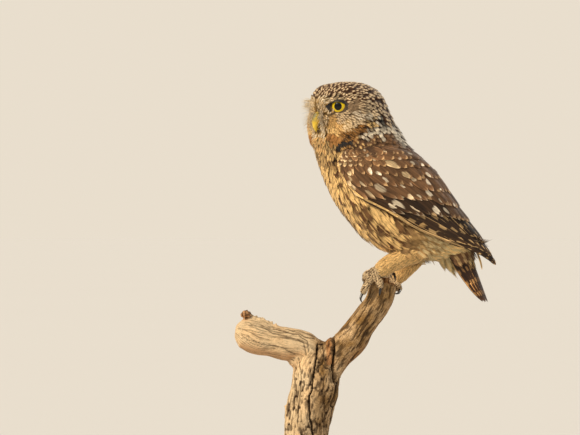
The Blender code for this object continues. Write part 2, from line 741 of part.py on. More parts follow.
FOOT_HUBS = {"left": (-1.4, 50.0), "right": (0.1, 239.0)}
HUB_RADIUS = 4.7
HUB_GRID = (14, 8)
TOE_RADIUS = (3.1, 2.9, 2.4)
TOE_CLEARANCE = 0.9  # between the bark and a toe
CLAW_RADIUS = 1.25


def bark_reach(depth):
    """The limb's radius at a depth below its end."""
    return LIMB_RADIUS + 0.05 * max(depth, 0)


def toe_point(depth, angle, inside=0.0):
    """A point of a toe's centre line."""
    return limb_point(depth, angle, bark_reach(depth) + TOE_RADIUS[0] + TOE_CLEARANCE - inside)


def build_foot(side):
    hub_depth, hub_angle = FOOT_HUBS[side]
    hub = limb_point(hub_depth, hub_angle, bark_reach(0) + HUB_RADIUS + TOE_CLEARANCE)
    foot = ball("foot_" + side, hub, LIMB_AXIS, HUB_RADIUS, "leg_feather", *HUB_GRID)
    path, radii = tarsus_rows(side)
    along = (path[-1] - path[-2]).normalized()
    ankle = path[-1] + along * GAP
    rings = tube_rings([ankle, ankle + along * 2, hub.lerp(ankle, 0.2)], [radii[-1], radii[-1], 3.6], 12)
    pieces = [add_object("ankle", *skin_rings(rings), "leg_feather")]
    for number, (*places, tip) in enumerate(TOES[side]):
        toe = [hub] + [toe_point(*place) for place in places]
        rows = spline([(*p, r) for p, r in zip(toe, (3.3, *TOE_RADIUS))], 6)
        rings = tube_rings([r[:3] for r in rows], [r[3] for r in rows], 8)
        pieces.append(add_object("toe", *skin_rings(rings), "leg_feather"))
        build_claw(side, number, rows[-2][:3], rows[-1][:3], tip)
    return fuse(foot, pieces)


def build_claw(side, number, before, end, tip):
    """A curved claw that starts at a toe's end face and hooks down to the bark."""
    end, before = Vector(end), Vector(before)
    along = (end - before).normalized()
    start = end + along * GAP
    point = limb_point(tip[0], tip[1], bark_reach(tip[0]) + 1.2)
    bulge = (start - LIMB_END).dot(LIMB_AXIS)
    outward = (start - (LIMB_END + LIMB_AXIS * bulge)).normalized()
    base = start + along * 1.2
    middle = base.lerp(point, 0.5) + outward * 1.6
    path = [start, base, middle, middle.lerp(point, 0.5) + outward * 0.5, point]
    radii = [CLAW_RADIUS, CLAW_RADIUS * 0.95, CLAW_RADIUS * 0.75, CLAW_RADIUS * 0.5, 0.2]
    rings = tube_rings(path, radii, 6)
    return add_object(f"claw_{side}_{number + 1}", *skin_rings(rings), "claw")


TAIL_BACK = Vector((-TAIL_DIRECTION.z, 0, TAIL_DIRECTION.x))


def tail_point(along, angle):
    """A point on the arch that the tail feathers form: distance along it and angle round it from its top."""
    share = along / TAIL_LENGTH
    depth, width = (a + (b - a) * share for a, b in (TAIL_DEPTH, TAIL_WIDTH))
    top = 10.5 - 6.0 * share
    height = top - depth * (1 - math.cos(angle)) / (1 - math.cos(TAIL_SPREAD))
    return TAIL_ROOT + TAIL_DIRECTION * along + TAIL_BACK * height + Vector((0, width * math.sin(angle), 0))


def tail_normal(along, angle):
    step = 0.03
    a = tail_point(along + 1, angle) - tail_point(along - 1, angle)
    b = tail_point(along, angle + step) - tail_point(along, angle - step)
    return a.cross(b).normalized()


def tail_base():
    """The end of the body that carries the tail's feathers."""
    rings = []
    for i, (front, back, half) in enumerate(TAIL_BASE_SECTIONS):
        centre = TAIL_ROOT + TAIL_DIRECTION * (GAP + i * TAIL_BASE_STEP) + TAIL_BACK * ((front + back) / 2)
        ring = []
        for j in range(20):
            c, s = superellipse(math.tau * j / 20, 2.1)
            ring.append(centre + TAIL_BACK * ((back - front) / 2 * c) + Vector((0, half * s, 0)))
        rings.append(ring)
    return add_object("tail", *skin_rings(rings), "flight")


def tail_vanes():
    """The tail's feathers, whose middle pair lies on top, and the coverts over their roots."""
    made = []
    for start, end, reach, spread, count, half, bottom, top in TAIL_TIERS:
        for k in range(count):
            share = 2 * k / (count - 1) - 1
            places = []
            for t in VANE_STEPS:
                along = start + (end - reach * abs(share) - start) * t
                angle = TAIL_SPREAD * spread * share
                n = tail_normal(along, angle)
                places.append((tail_point(along, angle) + n * (bottom + (top - bottom) * t), n))
            made.append(vane(places, half, TAIL_ROLL * (1 if share > 0 else -1)))
    return made


def under_tail_vanes():
    """The soft feathers under the tail's root."""
    made = []
    for height, sideways, length, half in UNDER_TAIL:
        for side in (-1, 1) if sideways else (1,):
            places = []
            for t in VANE_STEPS:
                along, inward = 3.0 + (length - 3.0) * t, 1.0 - 2.4 * t
                middle = TAIL_ROOT + TAIL_DIRECTION * along
                n = (TAIL_BACK * -1.0 + Vector((0, side * sideways * 0.08, 0))).normalized()
                at = middle + TAIL_BACK * (height + along * 0.22) + Vector((0, side * sideways, 0))
                places.append((at - n * inward, n))
            made.append(vane(places, half))
    return made


def build_tail():
    """The end of the body and, fused into it, the tail's feathers."""
    return fuse(tail_base(), tail_vanes() + under_tail_vanes(), "MANIFOLD")


def branch_tube(name, table, phase, uneven, sides=18, count=8):
    """A tube of dead wood whose radius swells unevenly round it, by a share of up to twice uneven."""
    rows = spline([(x, 0, z, r) for x, z, r in table], count)
    path = [Vector(r[:3]) for r in rows]
    rings = []
    for i, (p, row) in enumerate(zip(path, rows)):
        along = (path[min(i + 1, count - 1)] - path[max(i - 1, 0)]).normalized()
        first = NEAR.cross(along)
        ring = []
        for j in range(sides):
            a = math.tau * j / sides
            broad, fine = math.sin(2 * a + phase + i * 0.5), math.sin(3 * a - phase + i * 0.8)
            swell = 1 + uneven * (broad + 0.8 * fine)
            ring.append(p + (first * math.cos(a) + NEAR * math.sin(a)) * (row[3] * swell))
        rings.append(ring)
    return add_object(name, *skin_rings(rings), "dead_wood")


def build_branch():
    """The forked branch, joined whole and then parted at the fork with two thin cuts."""
    parts = {}
    planes = {
        "stub": (Vector((-58.5, 0, 121.8)), Vector((-0.94, 0, 0.34)).normalized()),
        "limb": (Vector((-16.1, 0, 122.4)), Vector((0.64, 0, 0.77)).normalized()),
    }
    for wanted in ("trunk", "stub", "limb"):
        whole = branch_tube("perch_" + wanted, TRUNK, 0.4, 0.03)
        fuse(whole, [branch_tube("limb", LIMB, 1.7, 0.012), branch_tube("stub", STUB, 3.1, 0.03)])
        for other, (point, normal) in planes.items():
            if wanted == "trunk":
                cut_plane(whole, point, normal)
            elif other == wanted:
                cut_plane(whole, point + normal * GAP, -normal)
        parts[wanted] = largest_body(whole)
    fuse(parts["stub"], [ball("knob", KNOB, UP, KNOB_RADIUS, "dead_wood", *KNOB_GRID)])
    cut_plane(parts["trunk"], Vector((0, 0, TRUNK_END_Z)), -UP)
    return parts


def build_stand():
    profile = (
        (BASE_RADIUS - BASE_CHAMFER, 0.0),
        (BASE_RADIUS, BASE_CHAMFER),
        (BASE_RADIUS, BASE_HEIGHT - BASE_CHAMFER),
        (BASE_RADIUS - BASE_CHAMFER, BASE_HEIGHT),
    )
    sides = 44
    turns = [(math.cos(math.tau * j / sides), math.sin(math.tau * j / sides)) for j in range(sides)]
    rings = [[(r * c, r * s, z) for c, s in turns] for r, z in profile]
    add_object("stand_base", *skin_rings(rings), "base_wood")
    ends = [Vector((ROD_X, 0, BASE_HEIGHT + GAP)), Vector((ROD_X, 0, TRUNK_END_Z - GAP))]
    rings = tube_rings(ends, [ROD_RADIUS, ROD_RADIUS], 20)
    add_object("stand_rod", *skin_rings(rings), "steel")


def main():
    clear_scene()
    build_head()
    build_eyes()
    build_bill()
    build_neck()
    build_torso()
    build_wings()
    build_tail()
    for side in ("left", "right"):
        build_thigh(side)
        build_tarsus(side)
        build_foot(side)
    build_branch()
    build_stand()
    for obj in bpy.context.scene.objects:
        obj.data.set_sharp_from_angle(angle=SHARP_ANGLE)


main()
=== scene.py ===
"""The looks of a life-size little owl on a cut branch: feathers, skin, eyes, bill, claws, weathered wood and stand."""

import itertools
import math

import bmesh
import bpy
import numpy as np
from mathutils import Matrix, Vector
from mathutils.bvhtree import BVHTree


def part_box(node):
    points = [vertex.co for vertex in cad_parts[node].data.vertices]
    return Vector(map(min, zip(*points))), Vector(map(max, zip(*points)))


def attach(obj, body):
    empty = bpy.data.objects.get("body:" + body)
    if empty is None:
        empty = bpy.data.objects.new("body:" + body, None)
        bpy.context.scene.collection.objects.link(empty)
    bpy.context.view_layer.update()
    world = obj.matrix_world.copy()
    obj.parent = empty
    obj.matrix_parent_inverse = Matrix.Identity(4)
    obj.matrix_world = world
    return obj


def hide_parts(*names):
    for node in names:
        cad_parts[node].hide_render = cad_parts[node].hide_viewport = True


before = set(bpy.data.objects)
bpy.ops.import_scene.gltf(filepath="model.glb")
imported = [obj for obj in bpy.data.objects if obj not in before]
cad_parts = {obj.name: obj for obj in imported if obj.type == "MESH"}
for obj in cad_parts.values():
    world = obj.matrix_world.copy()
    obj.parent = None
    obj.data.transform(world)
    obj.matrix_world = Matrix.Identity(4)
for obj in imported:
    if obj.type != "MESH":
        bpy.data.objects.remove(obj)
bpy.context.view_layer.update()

bl_info = {
    "name": "Little owl",
    "version": (1, 0, 0),
    "blender": (4, 5, 0),
    "location": "View3D > Sidebar > Owl",
    "description": "Dresses a little owl model with feathers, eyes, bill and branch",
    "category": "Object",
}

MM = 0.001
ROOT = "root"
SIDES = ("left", "right")

# The head's frame: forward, left and up. The owl's body faces -X and its head is turned towards -Y.
HEAD_CENTRE = np.array((-15.6, 0.0, 313.0))
HEAD_TURN = math.radians(38.0)
HEAD_AXES = np.array(
    (
        (-math.cos(HEAD_TURN), -math.sin(HEAD_TURN), 0.0),
        (math.sin(HEAD_TURN), -math.cos(HEAD_TURN), 0.0),
        (0.0, 0.0, 1.0),
    )
)
EYE_RADIUS = 8.2
EYE_APEX = np.array((24.1, 17.7, 4.3))
EYE_SPLAY = math.radians(33.0)

# The folded wing's surface, from wrist to tip: front x, front z, back x, back z and half width of the body's cloak,
# mm, and where on the line from front to back, from -1 to 1, the wing's lower and upper edge lie
WING_SECTIONS = np.array(
    (
        (-43.0, 279.8, 36.0, 284.8, 35.3, -0.42, 0.34),
        (-42.0, 271.5, 43.2, 279.5, 37.6, -0.60, 0.76),
        (-38.6, 258.5, 51.7, 272.3, 39.3, -0.64, 0.90),
        (-30.6, 241.0, 62.3, 259.3, 39.3, -0.54, 0.955),
        (-19.0, 223.5, 72.6, 241.8, 37.4, -0.19, 0.975),
        (-3.0, 206.5, 84.0, 226.0, 33.0, 0.04, 0.98),
        (30.0, 190.0, 95.0, 210.5, 25.0, 0.385, 0.98),
        (62.0, 183.0, 104.0, 197.0, 15.0, 0.62, 0.965),
        (88.0, 181.5, 108.3, 188.5, 6.5, 0.72, 0.95),
    )
)
WING_POWER = 2.15

TAIL_ROOT = np.array((76.0, 0.0, 199.0))
TAIL_DIRECTION = np.array((0.411, 0.0, -0.911)) / math.hypot(0.411, 0.911)
TAIL_BACK = np.array((-TAIL_DIRECTION[2], 0.0, TAIL_DIRECTION[0]))
TAIL_LENGTH = 44.0
TAIL_DEPTH = (18.5, 3.6)
TAIL_WIDTH = (14.5, 13.0)
TAIL_SPREAD = math.radians(78.0)

FOOT_HUBS = {"left": (-6.0, -15.0, 182.5), "right": (21.0, 13.0, 176.0)}

# The line that the body's coat is unwrapped round: x and z, mm
COAT_AXIS = np.array(((-12, 340), (-14, 313), (-8, 292), (5, 265), (25, 235), (50, 212), (75, 197), (95, 158)), float)


class OwlColours(bpy.types.PropertyGroup):
    """Colours of the owl, its perch and its stand."""


class OwlSizes(bpy.types.PropertyGroup):
    """Sizes and amounts that change the look."""


COLOURS = {
    "crown_brown": ((0.105, 0.042, 0.014), "Brown of crown and nape"),
    "crown_spot": ((0.86, 0.64, 0.38), "Pale streaks of the crown"),
    "white": ((0.88, 0.75, 0.55), "White of brows, chin and spots"),
    "face_buff": ((0.5, 0.3, 0.1), "Buff of the face"),
    "face_grey": ((0.33, 0.22, 0.12), "Grey-brown of the ear coverts"),
    "rufous": ((0.34, 0.15, 0.045), "Red-brown of the collar and the streaks"),
    "cream": ((0.87, 0.56, 0.22), "Cream of breast and belly"),
    "collar": ((0.46, 0.21, 0.05), "Orange-buff of the collar"),
    "streak": ((0.085, 0.035, 0.012), "Brown of the breast's streaks"),
    "fluff": ((0.36, 0.21, 0.075), "Buff of thighs and vent"),
    "shoulder": ((0.24, 0.122, 0.05), "Warm brown of the wing's small coverts"),
    "bold": ((0.13, 0.05, 0.015), "Brown of the belly's long streaks"),
    "tail_bar": ((0.56, 0.29, 0.1), "Orange buff of the tail's bars"),
    "vent_white": ((0.64, 0.49, 0.24), "Cream white under the tail"),
    "wing_brown": ((0.182, 0.09, 0.038), "Brown of back and wings"),
    "wing_dark": ((0.05, 0.024, 0.0095), "Dark brown of the flight feathers"),
    "bar": ((0.55, 0.35, 0.15), "Buff bars of wing and tail"),
    "leg": ((0.53, 0.3, 0.105), "Buff of the legs"),
    "toe": ((0.13, 0.07, 0.03), "Skin of the toes"),
    "toe_fur": ((0.8, 0.58, 0.33), "Short feathers of the toes"),
    "tail_brown": ((0.075, 0.031, 0.012), "Red-brown of the tail"),
    "iris": ((0.85, 0.62, 0.015), "Yellow of the iris"),
    "bill": ((0.7, 0.47, 0.035), "Yellow of the bill"),
    "bill_base": ((0.22, 0.19, 0.08), "Olive of the bill's base"),
    # claw's black also serves as painted shade in the crease over the shoulder
    "claw": ((0.022, 0.018, 0.016), "Black of claws and lids"),
    # wood and wood_brown: the branch mixes them by a mask that holds the stub's pale weathering and painted light on
    # the branch's lit left side
    "wood": ((0.9, 0.68, 0.41), "Pale weathered wood"),
    "wood_brown": ((0.34, 0.185, 0.055), "Brown weathered wood"),
    # wood_dark also serves as painted shade inside the wood's cracks
    "wood_dark": ((0.1, 0.048, 0.018), "Grain and cracks of the wood"),
    # wood_red also serves as painted bounce light on the wood's undersides
    "wood_red": ((0.5, 0.2, 0.06), "Torn wood at the fork"),
    "base": ((0.055, 0.028, 0.014), "Stained wood of the stand"),
    "steel": ((0.56, 0.55, 0.53), "Steel of the stand's rod"),
    "floor": ((0.80, 0.78, 0.74), "Floor"),
}
for key, (value, words) in COLOURS.items():
    OwlColours.__annotations__ = {
        **getattr(OwlColours, "__annotations__", {}),
        key: bpy.props.FloatVectorProperty(
            name=words, description=words, default=value, subtype="COLOR", size=3, min=0.0, max=1.0
        ),
    }
SIZES = {
    "coat_depth": (2.3 * MM, "Coat depth", "How far the skin lies inside the plumage", "LENGTH"),
    "spacing": (1.0, "Feather spacing", "Distance between small feathers, times the usual one", "NONE"),
    "crack_depth": (1.3 * MM, "Crack depth", "Depth of the wood's grain cracks", "LENGTH"),
    "skin_voxel": (1.1 * MM, "Skin fineness", "Size of the skin's mesh", "LENGTH"),
    "wood_voxel": (0.8 * MM, "Wood fineness", "Size of the branch's mesh", "LENGTH"),
    "key_light": (3.0, "Key light", "Strength of the main light", "NONE"),
    "fill_light": (0.35, "Fill light", "Strength of the second light", "NONE"),
    "rim_light": (0.8, "Rim light", "Strength of the light from behind", "NONE"),
    "sky_light": (0.32, "Sky light", "Strength of the light from all round", "NONE"),
}
for key, (value, title, words, unit) in SIZES.items():
    OwlSizes.__annotations__ = {
        **getattr(OwlSizes, "__annotations__", {}),
        key: bpy.props.FloatProperty(name=title, description=words, default=value, unit=unit, precision=4),
    }


def colour(name):
    return np.array(getattr(bpy.context.scene.owl_colours, name)[:])


def size(name):
    return getattr(bpy.context.scene.owl_sizes, name)


def mm(name):
    return size(name) / MM


# Plumage by place. Head rows are in the head's frame with left and right alike: forward, side and up, then the way the
# tips point, length, half width, spacing and lift in mm, ground colour, mark colour, the mark's width, start and end,
# and how dark the mottling is, if there is any
HEAD_PLUMAGE = (
    # Crown
    ((30.5, 5, 13.0), (-0.4, 0.1, 0.9), 5.0, 1.8, 2.1, 1.0, "crown_brown", "crown_spot", (0.36, 0.46, 0.97)),
    ((27, 12, 13.4), (-0.6, 0.3, 0.75), 5.2, 1.8, 2.1, 1.0, "crown_brown", "crown_spot", (0.36, 0.46, 0.97)),
    ((22.5, 18, 13.8), (-0.7, 0.4, 0.5), 5.4, 1.8, 2.2, 1.1, "crown_brown", "crown_spot", (0.36, 0.46, 0.96)),
    ((29, 6, 16), (-0.5, 0.0, 0.85), 5.2, 1.9, 2.2, 1.0, "crown_brown", "crown_spot", (0.36, 0.46, 0.97)),
    ((23, 8, 19.5), (-0.75, 0.0, 0.65), 5.8, 2.0, 2.5, 1.1, "crown_brown", "crown_spot", (0.36, 0.52, 0.95)),
    ((10, 9.6, 24), (-0.95, 0.0, 0.25), 6.2, 2.2, 2.6, 1.1, "crown_brown", "crown_spot", (0.36, 0.52, 0.95)),
    ((-5, 8, 25.5), (-1.0, 0.0, -0.1), 6.6, 2.3, 2.7, 1.2, "crown_brown", "crown_spot", (0.36, 0.52, 0.95)),
    ((0, 21, 20.8), (-1.0, 0.1, -0.1), 6.6, 2.3, 2.7, 1.2, "crown_brown", "crown_spot", (0.36, 0.52, 0.95)),
    ((13, 22, 18), (-0.9, 0.2, 0.1), 6.0, 2.0, 2.5, 1.1, "crown_brown", "crown_spot", (0.36, 0.52, 0.95)),
    ((21, 20, 16), (-0.75, 0.4, 0.3), 5.6, 1.9, 2.3, 1.1, "crown_brown", "crown_spot", (0.36, 0.46, 0.95)),
    ((13, 28, 12.8), (-0.95, 0.15, 0.0), 5.5, 1.4, 1.7, 1.1, "crown_brown", "crown_spot", (0.33, 0.45, 0.95), 0.3),
    ((2.4, 29.4, 12.9), (-0.9, 0.05, -0.35), 6.6, 2.2, 2.7, 1.2, "crown_brown", "crown_spot", (0.50, 0.46, 0.95)),
    ((-6.5, 28.6, 12.9), (-0.8, 0.0, -0.6), 7.1, 2.4, 3.0, 1.3, "crown_brown", "crown_spot", (0.50, 0.48, 0.95)),
    ((-20, 15, 18), (-0.7, 0.0, -0.7), 7.6, 2.7, 3.1, 1.4, "crown_brown", "crown_spot", (0.48, 0.51, 0.93)),
    ((-28, 0, 9), (-0.4, 0.0, -0.9), 8.1, 2.9, 3.2, 1.5, "crown_brown", "crown_spot", (0.50, 0.51, 0.93)),
    ((-27, 16, 4), (-0.35, 0.1, -0.95), 8.6, 3.2, 3.5, 1.6, "crown_brown", "crown_spot", (0.50, 0.46, 0.93)),
    # Nape and its sides
    ((-3.6, 32.4, 4.4), (-0.75, 0.05, -0.65), 6.5, 2.0, 2.3, 1.3, "streak", "crown_spot", (0.48, 0.45, 0.95), 0.9),
    ((-5.7, 34.9, -4.7), (-0.6, 0.05, -0.8), 7.0, 2.2, 2.5, 1.4, "streak", "white", (0.5, 0.4, 0.95), 0.95),
    ((-16.4, 31.9, -2.1), (-0.45, 0.1, -0.9), 8.0, 2.4, 2.6, 1.6, "crown_brown", "crown_spot", (0.42, 0.5, 0.92), 0.85),
    ((-28, 14, -8), (-0.2, 0.0, -1.0), 9.0, 3.0, 2.9, 1.7, "crown_brown", "white", (0.6, 0.5, 0.95), 0.8),
    ((-22, 26, -11), (-0.3, 0.1, -0.95), 9.0, 3.0, 2.8, 1.8, "streak", "white", (0.5, 0.4, 0.95), 0.9),
    ((-4, 37.5, -13.5), (-0.5, 0.15, -0.85), 7.5, 3.0, 2.7, 1.6, "streak", "white", (0.66, 0.3, 0.97), 0.6),
    ((-17, 36, -14), (-0.35, 0.1, -0.95), 8.0, 3.2, 2.9, 1.7, "streak", "white", (0.7, 0.3, 0.96), 0.5),
    ((-28, 10, -19), (-0.1, 0.0, -1.0), 8.5, 3.2, 2.9, 1.7, "crown_brown", "white", (0.66, 0.4, 0.95), 0.6),
    ((9, 34, -17.5), (-0.6, 0.25, -0.75), 7.0, 2.2, 2.3, 1.5, "crown_brown", "white", (0.55, 0.3, 0.97), 0.6),
    ((-11, 37, -20.5), (-0.4, 0.1, -0.9), 8.0, 2.8, 2.6, 2.0, "wing_brown", "shoulder", (0.3, 0.5, 0.9), 0.2),
    ((3, 36.5, -22), (-0.4, 0.1, -0.9), 8.0, 2.6, 2.6, 2.0, "wing_brown", "bar", (0.25, 0.6, 0.95), 0.3),
    ((13, 33, -23.5), (-0.5, 0.2, -0.85), 7.5, 2.4, 2.6, 1.7, "wing_brown", "cream", (0.22, 0.5, 0.95), 0.5),
    ((-26, 14, -26), (-0.2, 0.0, -1.0), 9.0, 3.0, 2.8, 1.7, "wing_brown", "wing_dark", (0.3, 0.6, 0.95)),
    # Brow
    ((30.6, 5.7, 9.0), (0.15, 0.9, 0.2), 6.0, 1.0, 1.0, 2.6, "face_buff", "white", (0.4, 0.3, 1.0), 0.45),
    ((28, 11.5, 9.6), (0.0, 0.95, 0.1), 6.6, 1.1, 1.0, 3.4, "face_grey", "crown_spot", (0.4, 0.3, 1.0), 0.5),
    ((23.8, 16.4, 10.6), (-0.6, 0.75, 0.2), 5.0, 1.0, 1.0, 1.4, "face_grey", "crown_spot", (0.4, 0.3, 1.0), 0.45),
    ((19, 23.1, 10.8), (-0.85, 0.45, 0.05), 5.0, 1.1, 1.2, 1.2, "crown_brown", "crown_spot", (0.4, 0.4, 1.0), 0.4),
    # Round the bill and the eye
    ((31.4, 0.7, 3.1), (0.1, 0.45, 0.85), 5.4, 0.8, 0.95, 2.6, "face_buff", "white", (0.3, 0.4, 1.0)),
    ((28.6, 10.4, 1.0), (-0.1, 0.25, 0.95), 3.6, 0.8, 0.95, 0.8, "face_buff", "white", (0.35, 0.3, 1.0)),
    ((31, 5.6, -4.7), (0.2, 0.75, -0.4), 5.6, 0.8, 0.95, 2.6, "face_buff", "white", (0.3, 0.4, 1.0)),
    ((28, 13.3, -7.3), (-0.1, 0.7, -0.6), 4.8, 0.9, 1.05, 1.1, "face_buff", "rufous", (0.3, 0.2, 0.7)),
    ((25.9, 19.1, -9.6), (-0.4, 0.6, -0.7), 5.0, 1.0, 1.15, 1.1, "collar", "cream", (0.4, 0.3, 0.95)),
    ((24.9, 20, -4.7), (-0.4, 0.7, -0.5), 4.4, 0.9, 1.15, 0.9, "face_grey", "crown_spot", (0.35, 0.4, 1.0)),
    # Ear coverts
    ((17.2, 27.1, 5.7), (-0.9, 0.35, 0.0), 5.5, 1.0, 1.25, 1.0, "face_grey", "streak", (0.2, 0.3, 0.95)),
    ((12.1, 31.2, 3.1), (-0.95, 0.2, -0.2), 6.0, 1.1, 1.35, 1.1, "face_grey", "crown_spot", (0.3, 0.4, 0.95), 0.5),
    ((14, 31, -2), (-0.85, 0.3, -0.45), 6.0, 1.1, 1.35, 1.1, "face_grey", "white", (0.34, 0.4, 1.0)),
    ((7.3, 33.5, 2.8), (-0.95, 0.1, -0.3), 6.0, 1.2, 1.45, 1.2, "face_grey", "crown_spot", (0.42, 0.4, 1.0), 0.7),
    ((3.5, 33.9, 0.5), (-0.9, 0.05, -0.4), 6.0, 1.5, 1.8, 1.3, "streak", "crown_spot", (0.5, 0.4, 1.0), 0.7),
    # Pale band from the chin to the ear
    ((29.9, 3.3, -15.2), (0.0, 0.3, -0.95), 5.0, 1.2, 1.25, 1.9, "face_buff", "white", (0.4, 0.4, 1.0)),
    ((27.2, 13.4, -13.9), (-0.3, 0.7, -0.6), 5.2, 1.1, 1.25, 1.3, "face_buff", "cream", (0.5, 0.4, 1.0)),
    ((22.9, 23.7, -10.6), (-0.6, 0.6, -0.45), 5.6, 1.2, 1.35, 1.4, "face_buff", "crown_spot", (0.45, 0.4, 1.0)),
    ((15.7, 30.5, -7.3), (-0.8, 0.4, -0.4), 6.0, 1.3, 1.45, 1.5, "face_grey", "crown_spot", (0.45, 0.35, 1.0), 0.3),
    ((7.7, 34.1, -2.8), (-0.9, 0.15, -0.35), 6.2, 1.4, 1.5, 1.5, "face_grey", "white", (0.4, 0.4, 1.0), 0.5),
    # Collar and throat
    ((29.2, 2, -21.7), (0.0, 0.3, -0.95), 6.0, 1.5, 1.6, 1.7, "cream", "rufous", (0.35, 0.4, 0.9), 0.3),
    ((26.7, 12.8, -19.8), (-0.35, 0.6, -0.7), 6.0, 1.5, 1.6, 1.6, "collar", "rufous", (0.3, 0.4, 0.9), 0.35),
    ((21.8, 24.5, -15.8), (-0.65, 0.5, -0.55), 6.0, 1.5, 1.6, 1.7, "collar", "wing_dark", (0.3, 0.4, 0.9), 0.8),
    ((14.2, 31.8, -11.3), (-0.85, 0.3, -0.45), 6.5, 1.6, 1.9, 1.7, "collar", "wing_dark", (0.35, 0.45, 0.9), 0.85),
    ((6.8, 35, -6.4), (-0.9, 0.1, -0.4), 6.5, 1.8, 2.1, 1.5, "streak", "cream", (0.55, 0.4, 0.95), 0.8),
    ((28.8, 2.6, -27.6), (0.0, 0.1, -1.0), 7.5, 2.0, 2.3, 1.8, "cream", "rufous", (0.35, 0.3, 0.9), 0.3),
    ((27.9, 11, -26.3), (-0.1, 0.2, -0.95), 7.5, 2.0, 2.3, 1.8, "cream", "streak", (0.35, 0.4, 0.95), 0.45),
)
# Painted shade: feathers along the crease over the shoulder, where the head meets the body, take the claws' near-black
COLLAR_GAP = ((24.6, 16.5, -26.2), (19.0, 27.5, -21.5), 1.7)  # the dark slit over the shoulder: ends and half width

# Body rows are in the owl's own frame, in mm: x, distance from the middle, z
BODY_PLUMAGE = (
    ((-41, 10, 277), (0.15, 0.0, -1.0), 9.5, 2.3, 2.8, 1.8, "cream", "streak", (0.45, 0.3, 0.95), 0.4),
    ((-28, 28, 280), (0.3, 0.05, -0.95), 9.0, 2.3, 2.7, 1.8, "streak", "cream", (0.5, 0.4, 0.95), 0.4),
    ((-39, 10, 264), (0.3, 0.0, -0.95), 10.5, 2.6, 3.2, 2.0, "cream", "streak", (0.5, 0.3, 0.95)),
    ((-28, 28, 264), (0.4, 0.05, -0.9), 10.0, 2.6, 3.0, 2.0, "cream", "streak", (0.62, 0.2, 0.95)),
    ((-31, 8, 246), (0.5, 0.0, -0.88), 13.0, 3.0, 3.8, 2.1, "cream", "streak", (0.42, 0.3, 0.95)),
    ((-20, 26, 246), (0.5, 0.05, -0.85), 13.0, 3.0, 3.8, 2.1, "cream", "streak", (0.5, 0.25, 0.95)),
    ((-14, 8, 226), (0.62, 0.0, -0.78), 15.0, 3.2, 4.3, 2.3, "cream", "streak", (0.34, 0.35, 0.95)),
    ((-6, 26, 228), (0.65, 0.05, -0.75), 15.0, 3.3, 4.4, 2.3, "cream", "streak", (0.45, 0.25, 0.95)),
    ((8, 32, 228), (0.68, 0.05, -0.72), 16.0, 3.4, 4.5, 2.4, "cream", "streak", (0.5, 0.2, 0.9)),
    ((16, 27, 214), (0.75, 0.0, -0.65), 17.0, 3.4, 4.5, 2.5, "cream", "streak", (0.5, 0.2, 0.95)),
    ((2, 8, 209), (0.8, 0.0, -0.6), 14.0, 3.2, 4.2, 2.2, "cream", "streak", (0.2, 0.4, 0.9)),
    ((14, 12, 200), (0.9, 0.0, -0.4), 12.0, 3.2, 4.0, 1.8, "cream", "fluff", (0.3, 0.3, 0.9)),
    ((33, 26, 206), (0.85, 0.0, -0.5), 14.0, 3.0, 3.3, 2.6, "fluff", "cream", (0.35, 0.3, 1.0), 0.35),
    ((45, 24, 204), (0.85, 0.0, -0.5), 14.0, 3.0, 3.2, 2.6, "fluff", "vent_white", (0.4, 0.2, 0.9)),
    ((40, 6, 194), (0.95, 0.0, -0.3), 10.0, 3.2, 3.3, 1.3, "fluff", "vent_white", (0.5, 0.4, 1.0)),
    ((56, 16, 197), (0.85, 0.0, -0.5), 13.0, 3.2, 3.2, 2.4, "vent_white", "cream", (0.3, 0.3, 1.0)),
    ((70, 8, 190), (0.6, 0.0, -0.8), 12.0, 3.2, 3.0, 2.4, "vent_white", "cream", (0.3, 0.3, 1.0)),
    ((8, 30, 286), (0.4, 0.1, -0.9), 9.6, 3.8, 3.6, 1.8, "wing_brown", "bar", (0.25, 0.6, 0.95), 0.2),
    ((28, 12, 287), (0.5, 0.0, -0.85), 9.5, 3.2, 2.9, 1.8, "crown_brown", "wing_brown", (0.4, 0.4, 0.9)),
    ((42, 8, 278), (0.6, 0.0, -0.8), 12.0, 4.0, 3.6, 2.0, "wing_brown", "crown_brown", (0.4, 0.5, 0.9)),
    ((58, 6, 262), (0.6, 0.0, -0.8), 14.0, 4.4, 4.0, 2.0, "wing_brown", "white", (0.3, 0.65, 0.85)),
    ((74, 4, 240), (0.55, 0.0, -0.85), 15.0, 4.6, 4.2, 2.0, "wing_brown", "bar", (0.3, 0.65, 0.85)),
    ((86, 6, 216), (0.5, 0.0, -0.87), 15.0, 4.6, 4.2, 1.9, "wing_brown", "bar", (0.3, 0.65, 0.85)),
)

LEG_MARK = (0.5, 0.3, 1.0)

TOE_MARK = (0.7, 0.68, 1.1)


# Shapes


def head_to_world(local):
    return HEAD_CENTRE + np.asarray(local, float) @ HEAD_AXES


def world_to_head(points):
    return (np.asarray(points, float) - HEAD_CENTRE) @ HEAD_AXES.T


def unit(vectors):
    return vectors / np.maximum(np.linalg.norm(vectors, axis=-1, keepdims=True), 1e-9)


def smooth_step(value, start, end):
    t = np.clip((value - start) / (end - start), 0.0, 1.0)
    return t * t * (3 - 2 * t)


def lattice(cells, seed):
    """A repeatable number from 0 to 1 for each whole-number place."""
    mask = 0xFFFFFFFF
    n = (cells[..., 0] * 374761393 + cells[..., 1] * 668265263 + cells[..., 2] * 1442695041 + seed * 1274126177) & mask
    n = ((n ^ (n >> 13)) * 1103515245) & mask
    n = ((n ^ (n >> 15)) * 1274126177) & mask
    return ((n ^ (n >> 16)) & 0xFFFF) / 65535


def noise(points, seed=0):
    """Smooth noise from -1 to 1 at each point."""
    base = np.floor(points).astype(np.int64)
    part = points - base
    part = part * part * (3 - 2 * part)
    total = 0.0
    for corner in itertools.product((0, 1), repeat=3):
        weight = np.prod(np.where(corner, part, 1 - part), axis=-1)
        total = total + weight * lattice(base + np.array(corner), seed)
    return total * 2 - 1


